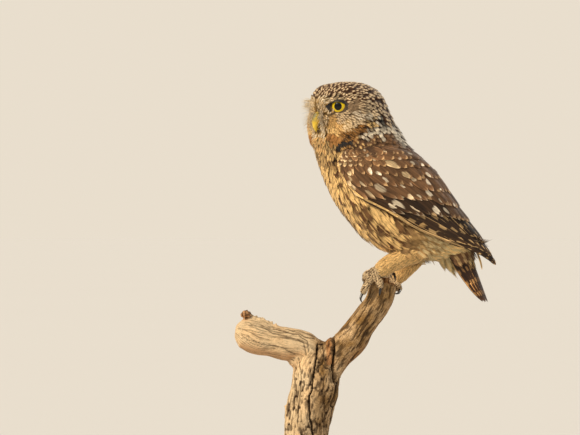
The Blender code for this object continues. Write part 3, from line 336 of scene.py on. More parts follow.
def spline(table, places):
    """Rows read from a smooth curve through the rows of table, at places that count rows."""
    rows = np.asarray(table, float)
    padded = np.vstack([2 * rows[0] - rows[1], rows, 2 * rows[-1] - rows[-2]])
    places = np.asarray(places, float)
    i = np.clip(np.floor(places).astype(int), 0, len(rows) - 2)
    t = (places - i)[..., None]
    a, b, c, d = (padded[i + k] for k in range(4))
    return 0.5 * (2 * b + (c - a) * t + (2 * a - 5 * b + 4 * c - d) * t**2 + (3 * b - a - 3 * c + d) * t**3)


def wing_surface(u, v):
    """Points and outward normals of the left wing's surface. u runs from wrist to tip, v from upper to lower edge."""

    def place(u, v):
        rows = spline(WING_SECTIONS, u)
        fx, fz, bx, bz, half, low, high = (rows[..., k] for k in range(7))
        top, bottom = (np.arccos(np.copysign(np.abs(f) ** (WING_POWER / 2), f)) for f in (high, low))
        angle = top + (bottom - top) * v
        c, s = np.cos(angle), np.sin(angle)
        c, s = (np.copysign(np.abs(w) ** (2 / WING_POWER), w) for w in (c, s))
        return np.stack([(fx + bx) / 2 + (bx - fx) / 2 * c, -half * s, (fz + bz) / 2 + (bz - fz) / 2 * c], -1)

    u, v = np.broadcast_arrays(np.asarray(u, float), np.asarray(v, float))
    step = 0.03
    along = place(np.minimum(u + step, 8.0), v) - place(np.maximum(u - step, 0.0), v)
    across = place(u, v + step) - place(u, v - step)
    return place(u, v), unit(np.cross(across, along))


def tail_surface(along, angle):
    """Points and outward normals of the arch that the tail feathers form."""

    def place(along, angle):
        share = along / TAIL_LENGTH
        depth, width = (a + (b - a) * share for a, b in (TAIL_DEPTH, TAIL_WIDTH))
        height = 10.5 - 6.0 * share - depth * (1 - np.cos(angle)) / (1 - math.cos(TAIL_SPREAD))
        y = np.stack([np.zeros_like(share), width * np.sin(angle), np.zeros_like(share)], -1)
        return TAIL_ROOT + TAIL_DIRECTION * along[..., None] + TAIL_BACK * height[..., None] + y

    along, angle = np.broadcast_arrays(np.asarray(along, float), np.asarray(angle, float))
    a = place(along + 1.0, angle) - place(along - 1.0, angle)
    b = place(along, angle + 0.03) - place(along, angle - 0.03)
    return place(along, angle), unit(np.cross(a, b))


def vertex_array(mesh):
    points = np.empty(len(mesh.vertices) * 3, np.float32)
    mesh.vertices.foreach_get("co", points)
    return points.reshape(-1, 3).astype(float)


def triangle_array(mesh):
    mesh.calc_loop_triangles()
    faces = np.empty(len(mesh.loop_triangles) * 3, np.int32)
    mesh.loop_triangles.foreach_get("vertices", faces)
    return faces.reshape(-1, 3)


def vertex_normals(points, faces):
    crosses = np.cross(points[faces[:, 1]] - points[faces[:, 0]], points[faces[:, 2]] - points[faces[:, 0]])
    normals = np.zeros_like(points)
    for k in range(3):
        np.add.at(normals, faces[:, k], crosses)
    return unit(normals)


def make_mesh(name, points, faces, material, normals=None, attributes=None, patches=None):
    """A piece from points in mm and triangles, with its attributes, its own normals and its OFBake places."""
    mesh = bpy.data.meshes.new(name)
    mesh.vertices.add(len(points))
    mesh.vertices.foreach_set("co", (np.asarray(points) * MM).astype(np.float32).ravel())
    mesh.loops.add(faces.size)
    mesh.loops.foreach_set("vertex_index", faces.astype(np.int32).ravel())
    mesh.polygons.add(len(faces))
    mesh.polygons.foreach_set("loop_start", np.arange(0, faces.size, 3, dtype=np.int32))
    mesh.update(calc_edges=True)
    mesh.shade_smooth()
    for key, values in (attributes or {}).items():
        values = np.asarray(values, np.float32)
        kind = {1: "FLOAT", 3: "FLOAT_VECTOR", 4: "FLOAT_COLOR"}[1 if values.ndim == 1 else values.shape[1]]
        made = mesh.attributes.new(key, kind, "POINT")
        made.data.foreach_set({"FLOAT": "value", "FLOAT_VECTOR": "vector", "FLOAT_COLOR": "color"}[kind], values.ravel())
    if patches is not None:
        layer = mesh.uv_layers.new(name="OFBake")
        layer.data.foreach_set("uv", patches[faces.ravel()].astype(np.float32).ravel())
    if normals is not None:
        mesh.normals_split_custom_set_from_vertices(normals.astype(np.float32))
    mesh.materials.append(material)
    obj = bpy.data.objects.new(name, mesh)
    bpy.context.scene.collection.objects.link(obj)
    return obj


def finish_piece(obj, slot, *nodes):
    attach(obj, ROOT)
    if nodes:
        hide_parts(*nodes)
    return obj


def apply_modifiers(obj):
    bpy.context.view_layer.update()
    graph = bpy.context.evaluated_depsgraph_get()
    mesh = bpy.data.meshes.new_from_object(obj.evaluated_get(graph))
    obj.modifiers.clear()
    obj.data = mesh
    return obj


def remeshed(name, sources, voxel):
    """One closed mesh round the joined sources, which are pairs of points in mm and faces."""
    points, faces, first = [], [], 0
    for p, f in sources:
        points.append(p)
        faces.append(np.asarray(f) + first)
        first += len(p)
    material = bpy.data.materials.get("plain") or bpy.data.materials.new("plain")
    obj = make_mesh(name, np.vstack(points), np.vstack(faces), material)
    modifier = obj.modifiers.new("Remesh", "REMESH")
    modifier.mode = "VOXEL"
    modifier.voxel_size = voxel * MM
    apply_modifiers(obj)
    p, f = vertex_array(obj.data) / MM, triangle_array(obj.data)
    bpy.data.objects.remove(obj, do_unlink=True)
    return p, f


def cad_source(node):
    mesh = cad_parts[node].data
    return vertex_array(mesh) / MM, triangle_array(mesh)


def smoothed(points, faces, rounds, weight=0.5):
    """The points, each moved towards the middle of its neighbours."""
    edges = np.unique(np.sort(np.vstack([faces[:, [0, 1]], faces[:, [1, 2]], faces[:, [2, 0]]]), axis=1), axis=0)
    a, b = edges[:, 0], edges[:, 1]
    degree = np.bincount(edges.ravel(), minlength=len(points)).astype(float)[:, None]
    for _ in range(rounds):
        total = np.zeros_like(points)
        for k in range(3):
            total[:, k] = np.bincount(a, points[b, k], len(points)) + np.bincount(b, points[a, k], len(points))
        points = points + (total / np.maximum(degree, 1) - points) * weight
    return points


def ball(centre, axes, around=24, rings=12):
    """Points and faces of an ellipsoid. axes are three vectors, of its half sizes."""
    points = [[0, 0, 1.0]]
    for i in range(1, rings):
        a = math.pi * i / rings
        points += [
            [math.sin(a) * math.cos(math.tau * j / around), math.sin(a) * math.sin(math.tau * j / around), math.cos(a)]
            for j in range(around)
        ]
    points.append([0, 0, -1.0])
    faces = [(0, 1 + j, 1 + (j + 1) % around) for j in range(around)]
    for i in range(rings - 2):
        for j in range(around):
            a, b = 1 + i * around + j, 1 + i * around + (j + 1) % around
            faces += [(a, a + around, b + around), (a, b + around, b)]
    last, end = 1 + (rings - 2) * around, len(points) - 1
    faces += [(last + j, end, last + (j + 1) % around) for j in range(around)]
    return np.asarray(centre) + np.array(points) @ np.asarray(axes, float), np.array(faces)


def tube(path, radii, sides):
    """Points and faces of a closed tube round a path in mm."""
    path = np.asarray(path, float)
    points, count = [], len(path)
    for i, (p, r) in enumerate(zip(path, radii)):
        along = unit(path[min(i + 1, count - 1)] - path[max(i - 1, 0)])
        side = unit(np.cross(along, (0.13, 0.97, 0.2)))
        up = np.cross(side, along)
        turns = np.linspace(0, math.tau, sides, endpoint=False)[:, None]
        points.append(p + (side * np.cos(turns) + up * np.sin(turns)) * r)
    points = np.vstack([*points, path[:1], path[-1:]])
    faces = []
    for i in range(count - 1):
        for j in range(sides):
            a, b = i * sides + j, i * sides + (j + 1) % sides
            faces += [(a, b, b + sides), (a, b + sides, a + sides)]
    start, end = count * sides, count * sides + 1
    faces += [(start, (j + 1) % sides, j) for j in range(sides)]
    last = (count - 1) * sides
    faces += [(end, last + j, last + (j + 1) % sides) for j in range(sides)]
    return points, np.array(faces)


# Shader helpers


def new_material(name, roughness=0.6, specular=0.3):
    material = bpy.data.materials.new(name)
    material.use_nodes = True
    shader = material.node_tree.nodes["Principled BSDF"]
    shader.inputs["Roughness"].default_value = roughness
    shader.inputs["Specular IOR Level"].default_value = specular
    return material, material.node_tree, shader


def put(tree, kind, inputs=(), **settings):
    """A node with its settings. Inputs are pairs of a socket's name or number and a value or another socket."""
    node = tree.nodes.new(kind)
    for key, value in settings.items():
        setattr(node, key, value)
    for key, value in inputs:
        if isinstance(value, bpy.types.NodeSocket):
            tree.links.new(value, node.inputs[key])
        else:
            node.inputs[key].default_value = value
    return node


def calc(tree, operation, *values):
    return put(tree, "ShaderNodeMath", list(enumerate(values)), operation=operation).outputs[0]


def step(tree, value, start, end):
    """A smooth rise from 0 at start to 1 at end."""
    inputs = [("Value", value), ("From Min", start), ("From Max", end)]
    return put(tree, "ShaderNodeMapRange", inputs, interpolation_type="SMOOTHSTEP").outputs[0]


def mixed(tree, share, first, second, blend="MIX"):
    node = put(tree, "ShaderNodeMix", data_type="RGBA", blend_type=blend)
    for socket, value in zip((node.inputs[0], node.inputs[6], node.inputs[7]), (share, first, second)):
        if isinstance(value, bpy.types.NodeSocket):
            tree.links.new(value, socket)
        else:
            socket.default_value = value if socket is node.inputs[0] else (*value, 1.0)
    return node.outputs[2]


def textured(tree, vector, scale, detail=3.0, roughness=0.55):
    inputs = [("Vector", vector), ("Scale", scale), ("Detail", detail), ("Roughness", roughness)]
    return put(tree, "ShaderNodeTexNoise", inputs).outputs[0]


def bumped(tree, shader, height, strength, distance):
    inputs = [("Height", height), ("Strength", strength), ("Distance", distance)]
    tree.links.new(put(tree, "ShaderNodeBump", inputs).outputs[0], shader.inputs["Normal"])


def attribute(tree, name):
    return put(tree, "ShaderNodeAttribute", attribute_name=name)


def feather_material(name, pattern, edge=0.12):
    """A feather's finish. Its ground and mark colours, places and mark sizes come from the mesh's attributes."""
    material, tree, shader = new_material(name, 0.62, 0.2)
    place = attribute(tree, "place")
    across, along, seed = put(tree, "ShaderNodeSeparateXYZ", [(0, place.outputs["Vector"])]).outputs
    wide = calc(tree, "ABSOLUTE", across)
    shape = attribute(tree, "shape")
    sizes = [*put(tree, "ShaderNodeSeparateXYZ", [(0, shape.outputs["Vector"])]).outputs, shape.outputs["Alpha"]]
    ground, mark = attribute(tree, "ground"), attribute(tree, "mark")
    barbs = calc(tree, "MULTIPLY", calc(tree, "ADD", along, wide), 9.0)
    number = calc(tree, "MULTIPLY", seed, 57.0)
    barb = put(tree, "ShaderNodeCombineXYZ", [(0, barbs), (1, across), (2, number)]).outputs[0]
    grain = textured(tree, barb, 3.0, 2.0)
    place = put(tree, "ShaderNodeCombineXYZ", [(0, along), (1, across), (2, number)]).outputs[0]
    wobble = calc(tree, "SUBTRACT", textured(tree, place, 2.4, 2.0), 0.5)
    uneven = calc(tree, "MULTIPLY_ADD", wobble, 0.35, wide)
    if pattern == "streak":
        inside = calc(tree, "SUBTRACT", 1.0, step(tree, calc(tree, "SUBTRACT", uneven, sizes[0]), -edge, edge))
        begun = step(tree, calc(tree, "SUBTRACT", along, sizes[1]), -0.1, 0.1)
        mask = calc(tree, "MULTIPLY", inside, begun)
        mask = calc(tree, "MULTIPLY", mask, step(tree, calc(tree, "SUBTRACT", sizes[2], along), -0.06, 0.1))
    elif pattern == "spot":
        x = calc(tree, "DIVIDE", calc(tree, "SUBTRACT", across, sizes[0]), sizes[3])
        y = calc(tree, "DIVIDE", calc(tree, "SUBTRACT", along, sizes[1]), sizes[2])
        ring = calc(tree, "MULTIPLY_ADD", x, x, calc(tree, "MULTIPLY", y, y))
        ring = calc(tree, "MULTIPLY_ADD", wobble, 2.2, ring)
        mask = calc(tree, "SUBTRACT", 1.0, step(tree, ring, 0.45, 1.3))
        mask = calc(tree, "MULTIPLY", mask, calc(tree, "MULTIPLY_ADD", textured(tree, place, 5.0, 3.0), 1.3, 0.3))
        fringe = step(tree, calc(tree, "MULTIPLY_ADD", uneven, 0.06, along), 0.95, 1.03)
        mask = calc(tree, "MAXIMUM", mask, calc(tree, "MULTIPLY", fringe, 0.55))
        mask = calc(tree, "MINIMUM", mask, 1.0)
    else:
        wave = calc(tree, "MULTIPLY", calc(tree, "MULTIPLY_ADD", wobble, 0.09, along), sizes[1])
        wave = calc(tree, "SINE", calc(tree, "MULTIPLY", wave, math.tau))
        mask = calc(tree, "MULTIPLY", step(tree, wave, 0.3, 0.7), step(tree, uneven, 0.24, 0.42))
        rim = step(tree, calc(tree, "ADD", wide, sizes[0]), 0.86, 0.98)
        mask = calc(tree, "MAXIMUM", mask, calc(tree, "MULTIPLY", rim, sizes[2]))
    mask = calc(tree, "MULTIPLY", mask, mark.outputs["Alpha"])
    base = mixed(tree, mask, ground.outputs["Color"], mark.outputs["Color"])
    shaft = calc(tree, "SUBTRACT", 1.0, step(tree, wide, 0.02, 0.09))
    base = mixed(tree, calc(tree, "MULTIPLY", shaft, 0.22), base, (0.03, 0.02, 0.012))
    shade = calc(tree, "MULTIPLY_ADD", grain, 1.1, 0.5)
    # Darker towards each feather's root: painted shade where the feather above overlaps it
    shade = calc(tree, "MULTIPLY", shade, calc(tree, "MULTIPLY_ADD", step(tree, along, 0.0, 0.8), 0.65, 0.4))
    shade = calc(tree, "MULTIPLY", shade, calc(tree, "MULTIPLY_ADD", seed, 0.24, 0.88))
    if pattern != "streak":
        cloud = textured(tree, place, 1.6, 4.0, 0.7)
        shade = calc(tree, "MULTIPLY", shade, calc(tree, "MULTIPLY_ADD", cloud, 2.7, -0.35))
        rim = calc(tree, "MAXIMUM", step(tree, wide, 0.6, 1.0), step(tree, along, 0.86, 0.98))
        shade = calc(tree, "MULTIPLY", shade, calc(tree, "MULTIPLY_ADD", rim, 0.85, 0.72))
        shade = calc(tree, "MULTIPLY", shade, calc(tree, "MULTIPLY_ADD", seed, 0.5, 0.75))
    tone = put(tree, "ShaderNodeVectorMath", [(0, base), ("Scale", shade)], operation="SCALE").outputs[0]
    tree.links.new(tone, shader.inputs["Base Color"])
    bumped(tree, shader, grain, 0.35, 0.0003)
    shader.inputs["Sheen Weight"].default_value = 0.1
    shader.inputs["Sheen Roughness"].default_value = 0.5
    return material


# Feathers


def fan_template(fingers, rng):
    """A soft feather of pointed strands that spread from its root: along, across and height, and its faces."""
    rows = ((0.0, 0.6), (0.45, 1.0), (0.8, 0.66))
    points, faces = [], []
    for k in range(fingers):
        lateral = 2 * k / (fingers - 1) - 1
        reach = 1.0 - 0.30 * lateral**2 + rng.uniform(-0.07, 0.07)
        lean = rng.uniform(-0.05, 0.05)
        half = 1.3 / fingers
        first = len(points)
        for t, width in rows:
            middle = (lateral + lean * t) * (0.25 + 0.75 * math.sin(min(t * 1.25, 1.0) * math.pi / 2)) * 0.86
            ring = ((-half * width, 0.0), (0.0, 1.0), (half * width, 0.0), (0.0, -0.7))
            points += [(t * reach, middle + a, h) for a, h in ring]
        points.append((reach, (lateral + lean) * 0.86, 0.3))
        for i, j in itertools.product(range(len(rows) - 1), range(4)):
            a, b = first + i * 4 + j, first + i * 4 + (j + 1) % 4
            faces += [(a, a + 4, b + 4), (a, b + 4, b)]
        end, last = len(points) - 1, first + (len(rows) - 1) * 4
        faces += [(last + j, end, last + (j + 1) % 4) for j in range(4)]
        faces += [(first, first + 1, first + 2), (first, first + 2, first + 3)]
    return np.array(points), np.array(faces)


def vane_template(rows=10, blunt=1.0, seed=0):
    """A firm feather: a thin closed blade with a rounded tip and slightly ragged edges."""
    rng = np.random.default_rng(seed)
    places = np.concatenate([np.linspace(0, 0.7, rows - 4), (0.82, 0.91, 0.965)])
    top, bottom = (-1.0, -0.5, 0.0, 0.5, 1.0), (0.5, 0.0, -0.5)
    points, faces = [], []
    for t in places:
        width = min(0.5 + 1.6 * t, 1.0) * (1 - max(0.0, (t - 0.62) / 0.38) ** (2.4 * blunt)) ** 0.5
        left, right = 1 + rng.uniform(-0.05, 0.03), 1 + rng.uniform(-0.05, 0.03)
        for a in top:
            points.append((t - 0.02 * abs(a), a * width * (left if a < 0 else right), 0.5 + 0.5 * (a == 0)))
        for a in bottom:
            points.append((t - 0.02 * abs(a), a * width, -0.5))
    ring = len(top) + len(bottom)
    for i in range(len(places) - 1):
        for j in range(ring):
            a, b = i * ring + j, i * ring + (j + 1) % ring
            faces += [(a, b + ring, b), (a, a + ring, b + ring)]
    points += [(0.0, 0.0, 0.0), (1.0, 0.0, 0.0)]
    root, tip, last = len(points) - 2, len(points) - 1, (len(places) - 1) * ring
    faces += [(root, j, (j + 1) % ring) for j in range(ring)]
    faces += [(tip, last + (j + 1) % ring, last + j) for j in range(ring)]
    return np.array(points), np.array(faces)


def curve_rows(controls, t):
    """Points and slopes at t of the curves through three control rows each: start, middle and end."""
    start, middle, end = (controls[:, k, None, :] for k in range(3))
    t = t[None, :, None]
    place = start * (1 - t) * (1 - 2 * t) + middle * 4 * t * (1 - t) + end * t * (2 * t - 1)
    slope = start * (4 * t - 3) + middle * (4 - 8 * t) + end * (4 * t - 1)
    return place, slope


class Coat:
    """Feathers gathered for one piece. Lengths are in mm."""

    def __init__(self):
        self.parts = []

    def add(self, template, lines, normals, half, thick, colours, marks, shapes, patches, rng, camber=0.0):
        """Feathers of one template along lines, three points each, with the surface's normals there."""
        points, faces = template
        along, across, height = points.T
        count = len(lines)
        place, slope = curve_rows(lines, along)
        normal = unit(curve_rows(normals, along)[0])
        side = unit(np.cross(normal, slope))
        normal = unit(np.cross(slope, side))
        wide = across[None, :] * half[:, None]
        rise = height[None, :] * thick[:, None] - camber * across[None, :] ** 2 * half[:, None]
        spots = place + side * wide[..., None] + normal * rise[..., None]
        upward = np.where(height < -0.1, -1.0, np.where(height > 0.1, 1.0, 0.7))
        facing = unit(normal * upward[None, :, None] + side * (0.45 * np.clip(across, -1, 1))[None, :, None])
        seeds = rng.uniform(0, 1, count)
        places = np.empty((count, len(points), 3))
        places[..., 0], places[..., 1], places[..., 2] = across, along, seeds[:, None]
        patch = patches[:, None, :] + np.stack([across * 0.0015, along * 0.003], -1)[None]

        def each_point(values):
            return np.repeat(np.asarray(values, float), len(points), axis=0)

        self.parts.append(
            (
                spots.reshape(-1, 3),
                (faces[None] + (np.arange(count) * len(points))[:, None, None]).reshape(-1, 3),
                facing.reshape(-1, 3),
                places.reshape(-1, 3),
                each_point(colours),
                each_point(marks),
                each_point(shapes),
                patch.reshape(-1, 2),
            )
        )

    def mirror(self):
        """The same feathers on the owl's other side."""
        flip = (1, -1, 1)
        self.parts = [(p[0] * flip, p[1][:, ::-1], p[2] * flip, *p[3:]) for p in self.parts]

    def build(self, name, material):
        first, faces = 0, []
        for part in self.parts:
            faces.append(part[1] + first)
            first += len(part[0])
        spots, facing, places, colours, marks, shapes, patch = (
            np.vstack([part[k] for part in self.parts]) for k in (0, 2, 3, 4, 5, 6, 7)
        )
        colours = np.hstack([colours, np.ones((len(colours), 1))])
        attributes = {"place": places, "ground": colours, "mark": marks, "shape": shapes}
        return make_mesh(name, spots, np.vstack(faces), material, facing, attributes, patch)


def plumage_at(points, table, side_axis, wander):
    """Feather settings at each point, from the rows of a table. Colours change more sharply than the way of lying."""
    folded = points.copy()
    folded[:, side_axis] = np.abs(folded[:, side_axis])
    places = np.array([row[0] for row in table], float)
    weights = (((folded[:, None] - places[None]) ** 2).sum(-1) + 3.0) ** -2.5
    weights /= weights.sum(1, keepdims=True)
    flow = weights @ np.array([row[1] for row in table], float)
    flow[:, side_axis] *= np.where(points[:, side_axis] < 0, -1.0, 1.0)
    sizes = weights @ np.array([row[2:6] for row in table], float)
    folded = folded + wander * np.stack([noise(points / (1.6 * wander), seed) for seed in (21, 22, 23)], -1)
    weights = (((folded[:, None] - places[None]) ** 2).sum(-1) / wander**2 + 0.5) ** -6.0
    weights /= weights.sum(1, keepdims=True)
    ground = weights @ np.array([colour(row[6]) for row in table])
    mark = weights @ np.array([colour(row[7]) for row in table])
    shape = weights @ np.array([row[8] for row in table], float)
    mottle = weights @ np.array([row[9] if len(row) > 9 else 0.0 for row in table])
    dark = (mottle * smooth_step(noise(points * (0.42, 0.42, 0.32), 43), -0.02, 0.28))[:, None]
    return flow, sizes, ground * (1 - dark), mark * (1 - 0.9 * dark), shape


def coat_place(points, legs):
    """Each root's place on an unwrap of the skin: body and head round their bent axis, and each leg round its own."""
    starts, ends = COAT_AXIS[:-1], COAT_AXIS[1:]
    flat = points[:, [0, 2]]
    runs = ends - starts
    lengths = np.linalg.norm(runs, axis=1)
    share = np.clip(((flat[:, None] - starts) * runs).sum(-1) / lengths**2, 0, 1)
    feet = starts + runs * share[..., None]
    nearest = np.linalg.norm(flat[:, None] - feet, axis=-1).argmin(1)
    row = np.arange(len(points))
    down = (np.concatenate([[0], np.cumsum(lengths)])[nearest] + share[row, nearest] * lengths[nearest]) / lengths.sum()
    direction = runs[nearest] / lengths[nearest, None]
    offset = flat - feet[row, nearest]
    sideways = offset[:, 0] * direction[:, 1] - offset[:, 1] * direction[:, 0]
    turn = np.arctan2(points[:, 1], sideways) / math.tau + 0.5
    made = np.stack([0.01 + 0.76 * turn, 0.01 + 0.97 * down], -1)
    leg_turn = np.arctan2(points[:, 0] - 25.0, np.abs(points[:, 1]) - 14.0) / math.tau + 0.5
    leg = np.stack([0.79 + 0.1 * (points[:, 1] > 0) + 0.09 * leg_turn, np.clip((215 - points[:, 2]) / 60, 0.01, 0.98)], -1)
    return np.where(legs[:, None], leg, made)


class Skin:
    """The owl's skin, and places on it."""

    def __init__(self, points, faces, kinds):
        self.points, self.faces, self.kinds = points, faces, kinds
        self.normals = vertex_normals(points, faces)
        self.tree = BVHTree.FromPolygons(points.tolist(), faces.tolist())

    def nearest(self, points):
        """The nearest places on the skin, with their smooth normals and the kind of skin there."""
        spots, normals, kinds = np.empty((len(points), 3)), np.empty((len(points), 3)), np.empty(len(points), int)
        for i, point in enumerate(points):
            spot, _, face, _ = self.tree.find_nearest(Vector(point))
            corners = self.faces[face]
            spots[i] = spot
            weights = 1.0 / (np.linalg.norm(self.points[corners] - spots[i], axis=1) + 0.05)
            normals[i] = (self.normals[corners] * weights[:, None]).sum(0)
            kinds[i] = self.kinds[corners[weights.argmax()]]
        return spots, unit(normals), kinds

    def scatter(self, spacing, keep, rng, crowd=7.0):
        """Places spread evenly over the skin, spacing mm apart there, where keep allows."""
        corners = self.points[self.faces]
        middle = corners.mean(1)
        kinds = self.kinds[self.faces[:, 0]]
        allowed = keep(middle, kinds)
        area = np.linalg.norm(np.cross(corners[:, 1] - corners[:, 0], corners[:, 2] - corners[:, 0]), axis=1) / 2
        gap = spacing(middle, kinds)
        weight = np.where(allowed, area / gap**2, 0.0)
        wanted = int(weight.sum() * crowd)
        faces = rng.choice(len(weight), wanted, p=weight / weight.sum())
        a, b = rng.uniform(0, 1, (2, wanted))
        over = a + b > 1
        a[over], b[over] = 1 - a[over], 1 - b[over]
        points = corners[faces, 0] * (1 - a - b)[:, None] + corners[faces, 1] * a[:, None] + corners[faces, 2] * b[:, None]
        gaps = gap[faces]
        cell = gaps.min()
        cells = np.floor(points / cell).astype(int)
        grid, chosen = {}, []
        for i in range(wanted):
            x, y, z = cells[i]
            reach = int(math.ceil(gaps[i] / cell))
            near = [
                j
                for dx in range(-reach, reach + 1)
                for dy in range(-reach, reach + 1)
                for dz in range(-reach, reach + 1)
                for j in grid.get((x + dx, y + dy, z + dz), ())
            ]
            if not near or (((points[near] - points[i]) ** 2).sum(1) >= gaps[i] ** 2).all():
                grid.setdefault((x, y, z), []).append(i)
                chosen.append(i)
        chosen = np.array(chosen)
        return points[chosen]


HEAD, BODY, WING, LEG, TOE = range(5)
made_skin = []


def wing_plate(side):
    """A closed plate under the wing's feathers, as points and faces."""
    u, v = np.meshgrid(np.linspace(0.15, 6.3, 26), np.linspace(0.04, 0.96, 14), indexing="ij")
    spot, normal = wing_surface(u, v)
    outer, inner = (spot - normal * depth for depth in (0.6, 5.5))
    rows, wide = u.shape
    grid = np.arange(rows * wide).reshape(rows, wide)
    a, b, c, d = (g.ravel() for g in (grid[:-1, :-1], grid[:-1, 1:], grid[1:, 1:], grid[1:, :-1]))
    n = rows * wide
    faces = [np.stack(k, -1) for k in ((a, b, c), (a, c, d), (a + n, c + n, b + n), (a + n, d + n, c + n))]
    border = np.concatenate([grid[0], grid[1:, -1], grid[-1, -2::-1], grid[-2:0:-1, 0]])
    after = np.roll(border, -1)
    faces += [np.stack(k, -1) for k in ((border, border + n, after + n), (border, after + n, after))]
    points = np.vstack([outer.reshape(-1, 3), inner.reshape(-1, 3)])
    faces = np.vstack(faces)
    if side == "right":
        points = points * (1, -1, 1)
        faces = faces[:, ::-1]
    return points, faces


FLESH = ["head", "neck", "torso"] + [f"{part}_{side}" for part in ("thigh", "tarsus", "foot") for side in SIDES]
DEPTHS = {HEAD: 0.62, BODY: 0.85, WING: 1.0, LEG: -0.8, TOE: -0.15}  # of the coat, as shares of its usual depth


def build_skin():
    sources = [cad_source(node) for node in FLESH + ["eye_left", "eye_right"]]
    sources += [wing_plate(side) for side in SIDES]
    rump = (TAIL_DIRECTION * 13.0, np.array((0, 12.5, 0)), TAIL_BACK * 15.5)
    sources.append(ball(TAIL_ROOT + TAIL_DIRECTION * 1.0 - TAIL_BACK * 3.0, rump))
    points, faces = remeshed("skin", sources, mm("skin_voxel"))
    points = smoothed(points, faces, 3)
    labels = {"head": HEAD, "neck": HEAD, "torso": BODY}
    trees, kinds_of = [], []
    for node in FLESH:
        p, f = cad_source(node)
        trees.append(BVHTree.FromPolygons(p.tolist(), f.tolist()))
        kinds_of.append(labels.get(node, TOE if node.startswith("foot") else LEG))
    for side in SIDES:
        p, f = wing_plate(side)
        trees.append(BVHTree.FromPolygons(p.tolist(), f.tolist()))
        kinds_of.append(WING)
    kinds = np.empty(len(points), int)
    for i, point in enumerate(points):
        spot = Vector(point)
        found = [tree.find_nearest(spot, 8.0)[3] for tree in trees]
        found = [9.0 if distance is None else distance for distance in found]
        kinds[i] = kinds_of[int(np.argmin(found))]
    normals = vertex_normals(points, faces)
    depth = np.array([DEPTHS[k] for k in range(5)])[kinds] * mm("coat_depth")
    local = world_to_head(points)
    face = (kinds == HEAD) * smooth_step(local[:, 0], 8.0, 26.0) * smooth_step(local[:, 2], 15.0, 9.0)
    depth = depth * (1 - 0.9 * face)
    for _ in range(12):
        spread = smoothed(depth[:, None].repeat(3, 1), faces, 1)[:, 0]
        depth = spread
    points = points - normals * depth[:, None]
    points = smoothed(points, faces, 2, 0.4)
    for side in (1, -1):
        axis = np.array((math.cos(EYE_SPLAY), side * math.sin(EYE_SPLAY), 0.0))
        centre = EYE_APEX * (1, side, 1) - axis * EYE_RADIUS
        offset = world_to_head(points) - centre
        distance = np.linalg.norm(offset, axis=1)
        aside = np.linalg.norm(offset - (offset @ axis)[:, None] * axis, axis=1)
        front = (offset @ axis > 1.0) & (aside < EYE_RADIUS + 1.5)
        target = np.minimum(distance, EYE_RADIUS - 1.2 + 1.5 * smooth_step(aside, 6.0, 9.0))
        moved = centre + offset / np.maximum(distance, 0.1)[:, None] * target[:, None]
        points[front] = head_to_world(moved[front])
    return points, faces, kinds


def skin_colours(points, kinds):
    # The skin takes the plumage's ground colour at three tenths of its brightness, eight tenths on the legs: painted
    # shade in the gaps between feathers
    shown = flow_at(points, kinds)[2] * np.where(kinds == LEG, 0.8, 0.3)[:, None]
    shown[kinds == WING] = colour("wing_brown")
    shown[kinds == TOE] = colour("toe") * 0.8
    return shown


def flow_at(points, kinds):
    """The way feathers lie at points of the skin, with their other settings."""
    body = plumage_at(points, BODY_PLUMAGE, 1, 3.5)
    local = world_to_head(points)
    head = plumage_at(local, HEAD_PLUMAGE, 1, 1.3)
    start, end, wide = (np.array(k, float) for k in COLLAR_GAP)
    offset = local * (1, np.sign(HEAD_AXES[1, 1]) * -1, 1) - start
    run = end - start
    share = np.clip(offset @ run / (run @ run), 0, 1)
    gap = np.linalg.norm(offset - share[:, None] * run, axis=1) < wide
    # Feathers in the slit take the claws' near-black: painted shade in the crease over the shoulder
    for row in (2, 3):
        head[row][gap] = colour("claw")
    place = coat_place(points, np.zeros(len(points), bool))
    bold = noise(np.column_stack([place * (105.0, 6.5), np.full(len(points), 0.5)]), 41)
    on_front = (smooth_step(points[:, 2], 286, 266) * smooth_step(points[:, 0], 46, 32))[:, None]
    bold = smooth_step(bold, -0.08, 0.14)[:, None]
    body[2][:] = body[2] * (1 - 0.55 * bold * on_front) + colour("bold") * 0.55 * bold * on_front
    body[3][:] = body[3] * (1 - 0.5 * on_front) + colour("bold") * 0.5 * on_front
    body[4][:, :1] *= 1 + on_front * (1.35 * bold - 0.9)
    body[4][:, 1:2] *= 1 - 0.8 * bold * on_front
    on_head = (kinds == HEAD)[:, None]
    flow = np.where(on_head, head[0] @ HEAD_AXES, body[0])
    made = [flow] + [np.where(on_head, h, b) for h, b in zip(head[1:], body[1:])]
    legs, toes = kinds == LEG, kinds == TOE
    left = (points[:, 1] < 0)[:, None]
    low = smooth_step(points[:, 2], 205.0, 192.0)
    hubs = np.where(left, FOOT_HUBS["left"], FOOT_HUBS["right"])
    down = np.where(left, (-0.85, 0.0, -0.5), (-0.66, 0.0, -0.75))
    made[0][legs], made[0][toes] = down[legs], (points - hubs + (0.0, 0.0, -3.0))[toes]
    made[1][legs] = np.stack([7.5 - 3.0 * low, 1.5 - 0.6 * low, 1.5 - 0.45 * low, 1.1 - 0.5 * low], -1)[legs]
    made[1][toes] = (2.8, 0.8, 1.15, 0.5)
    for chosen, ground, mark, shape in ((legs, "leg", "cream", LEG_MARK), (toes, "toe_fur", "toe", TOE_MARK)):
        made[2][chosen], made[3][chosen], made[4][chosen] = colour(ground), colour(mark), shape
    return made


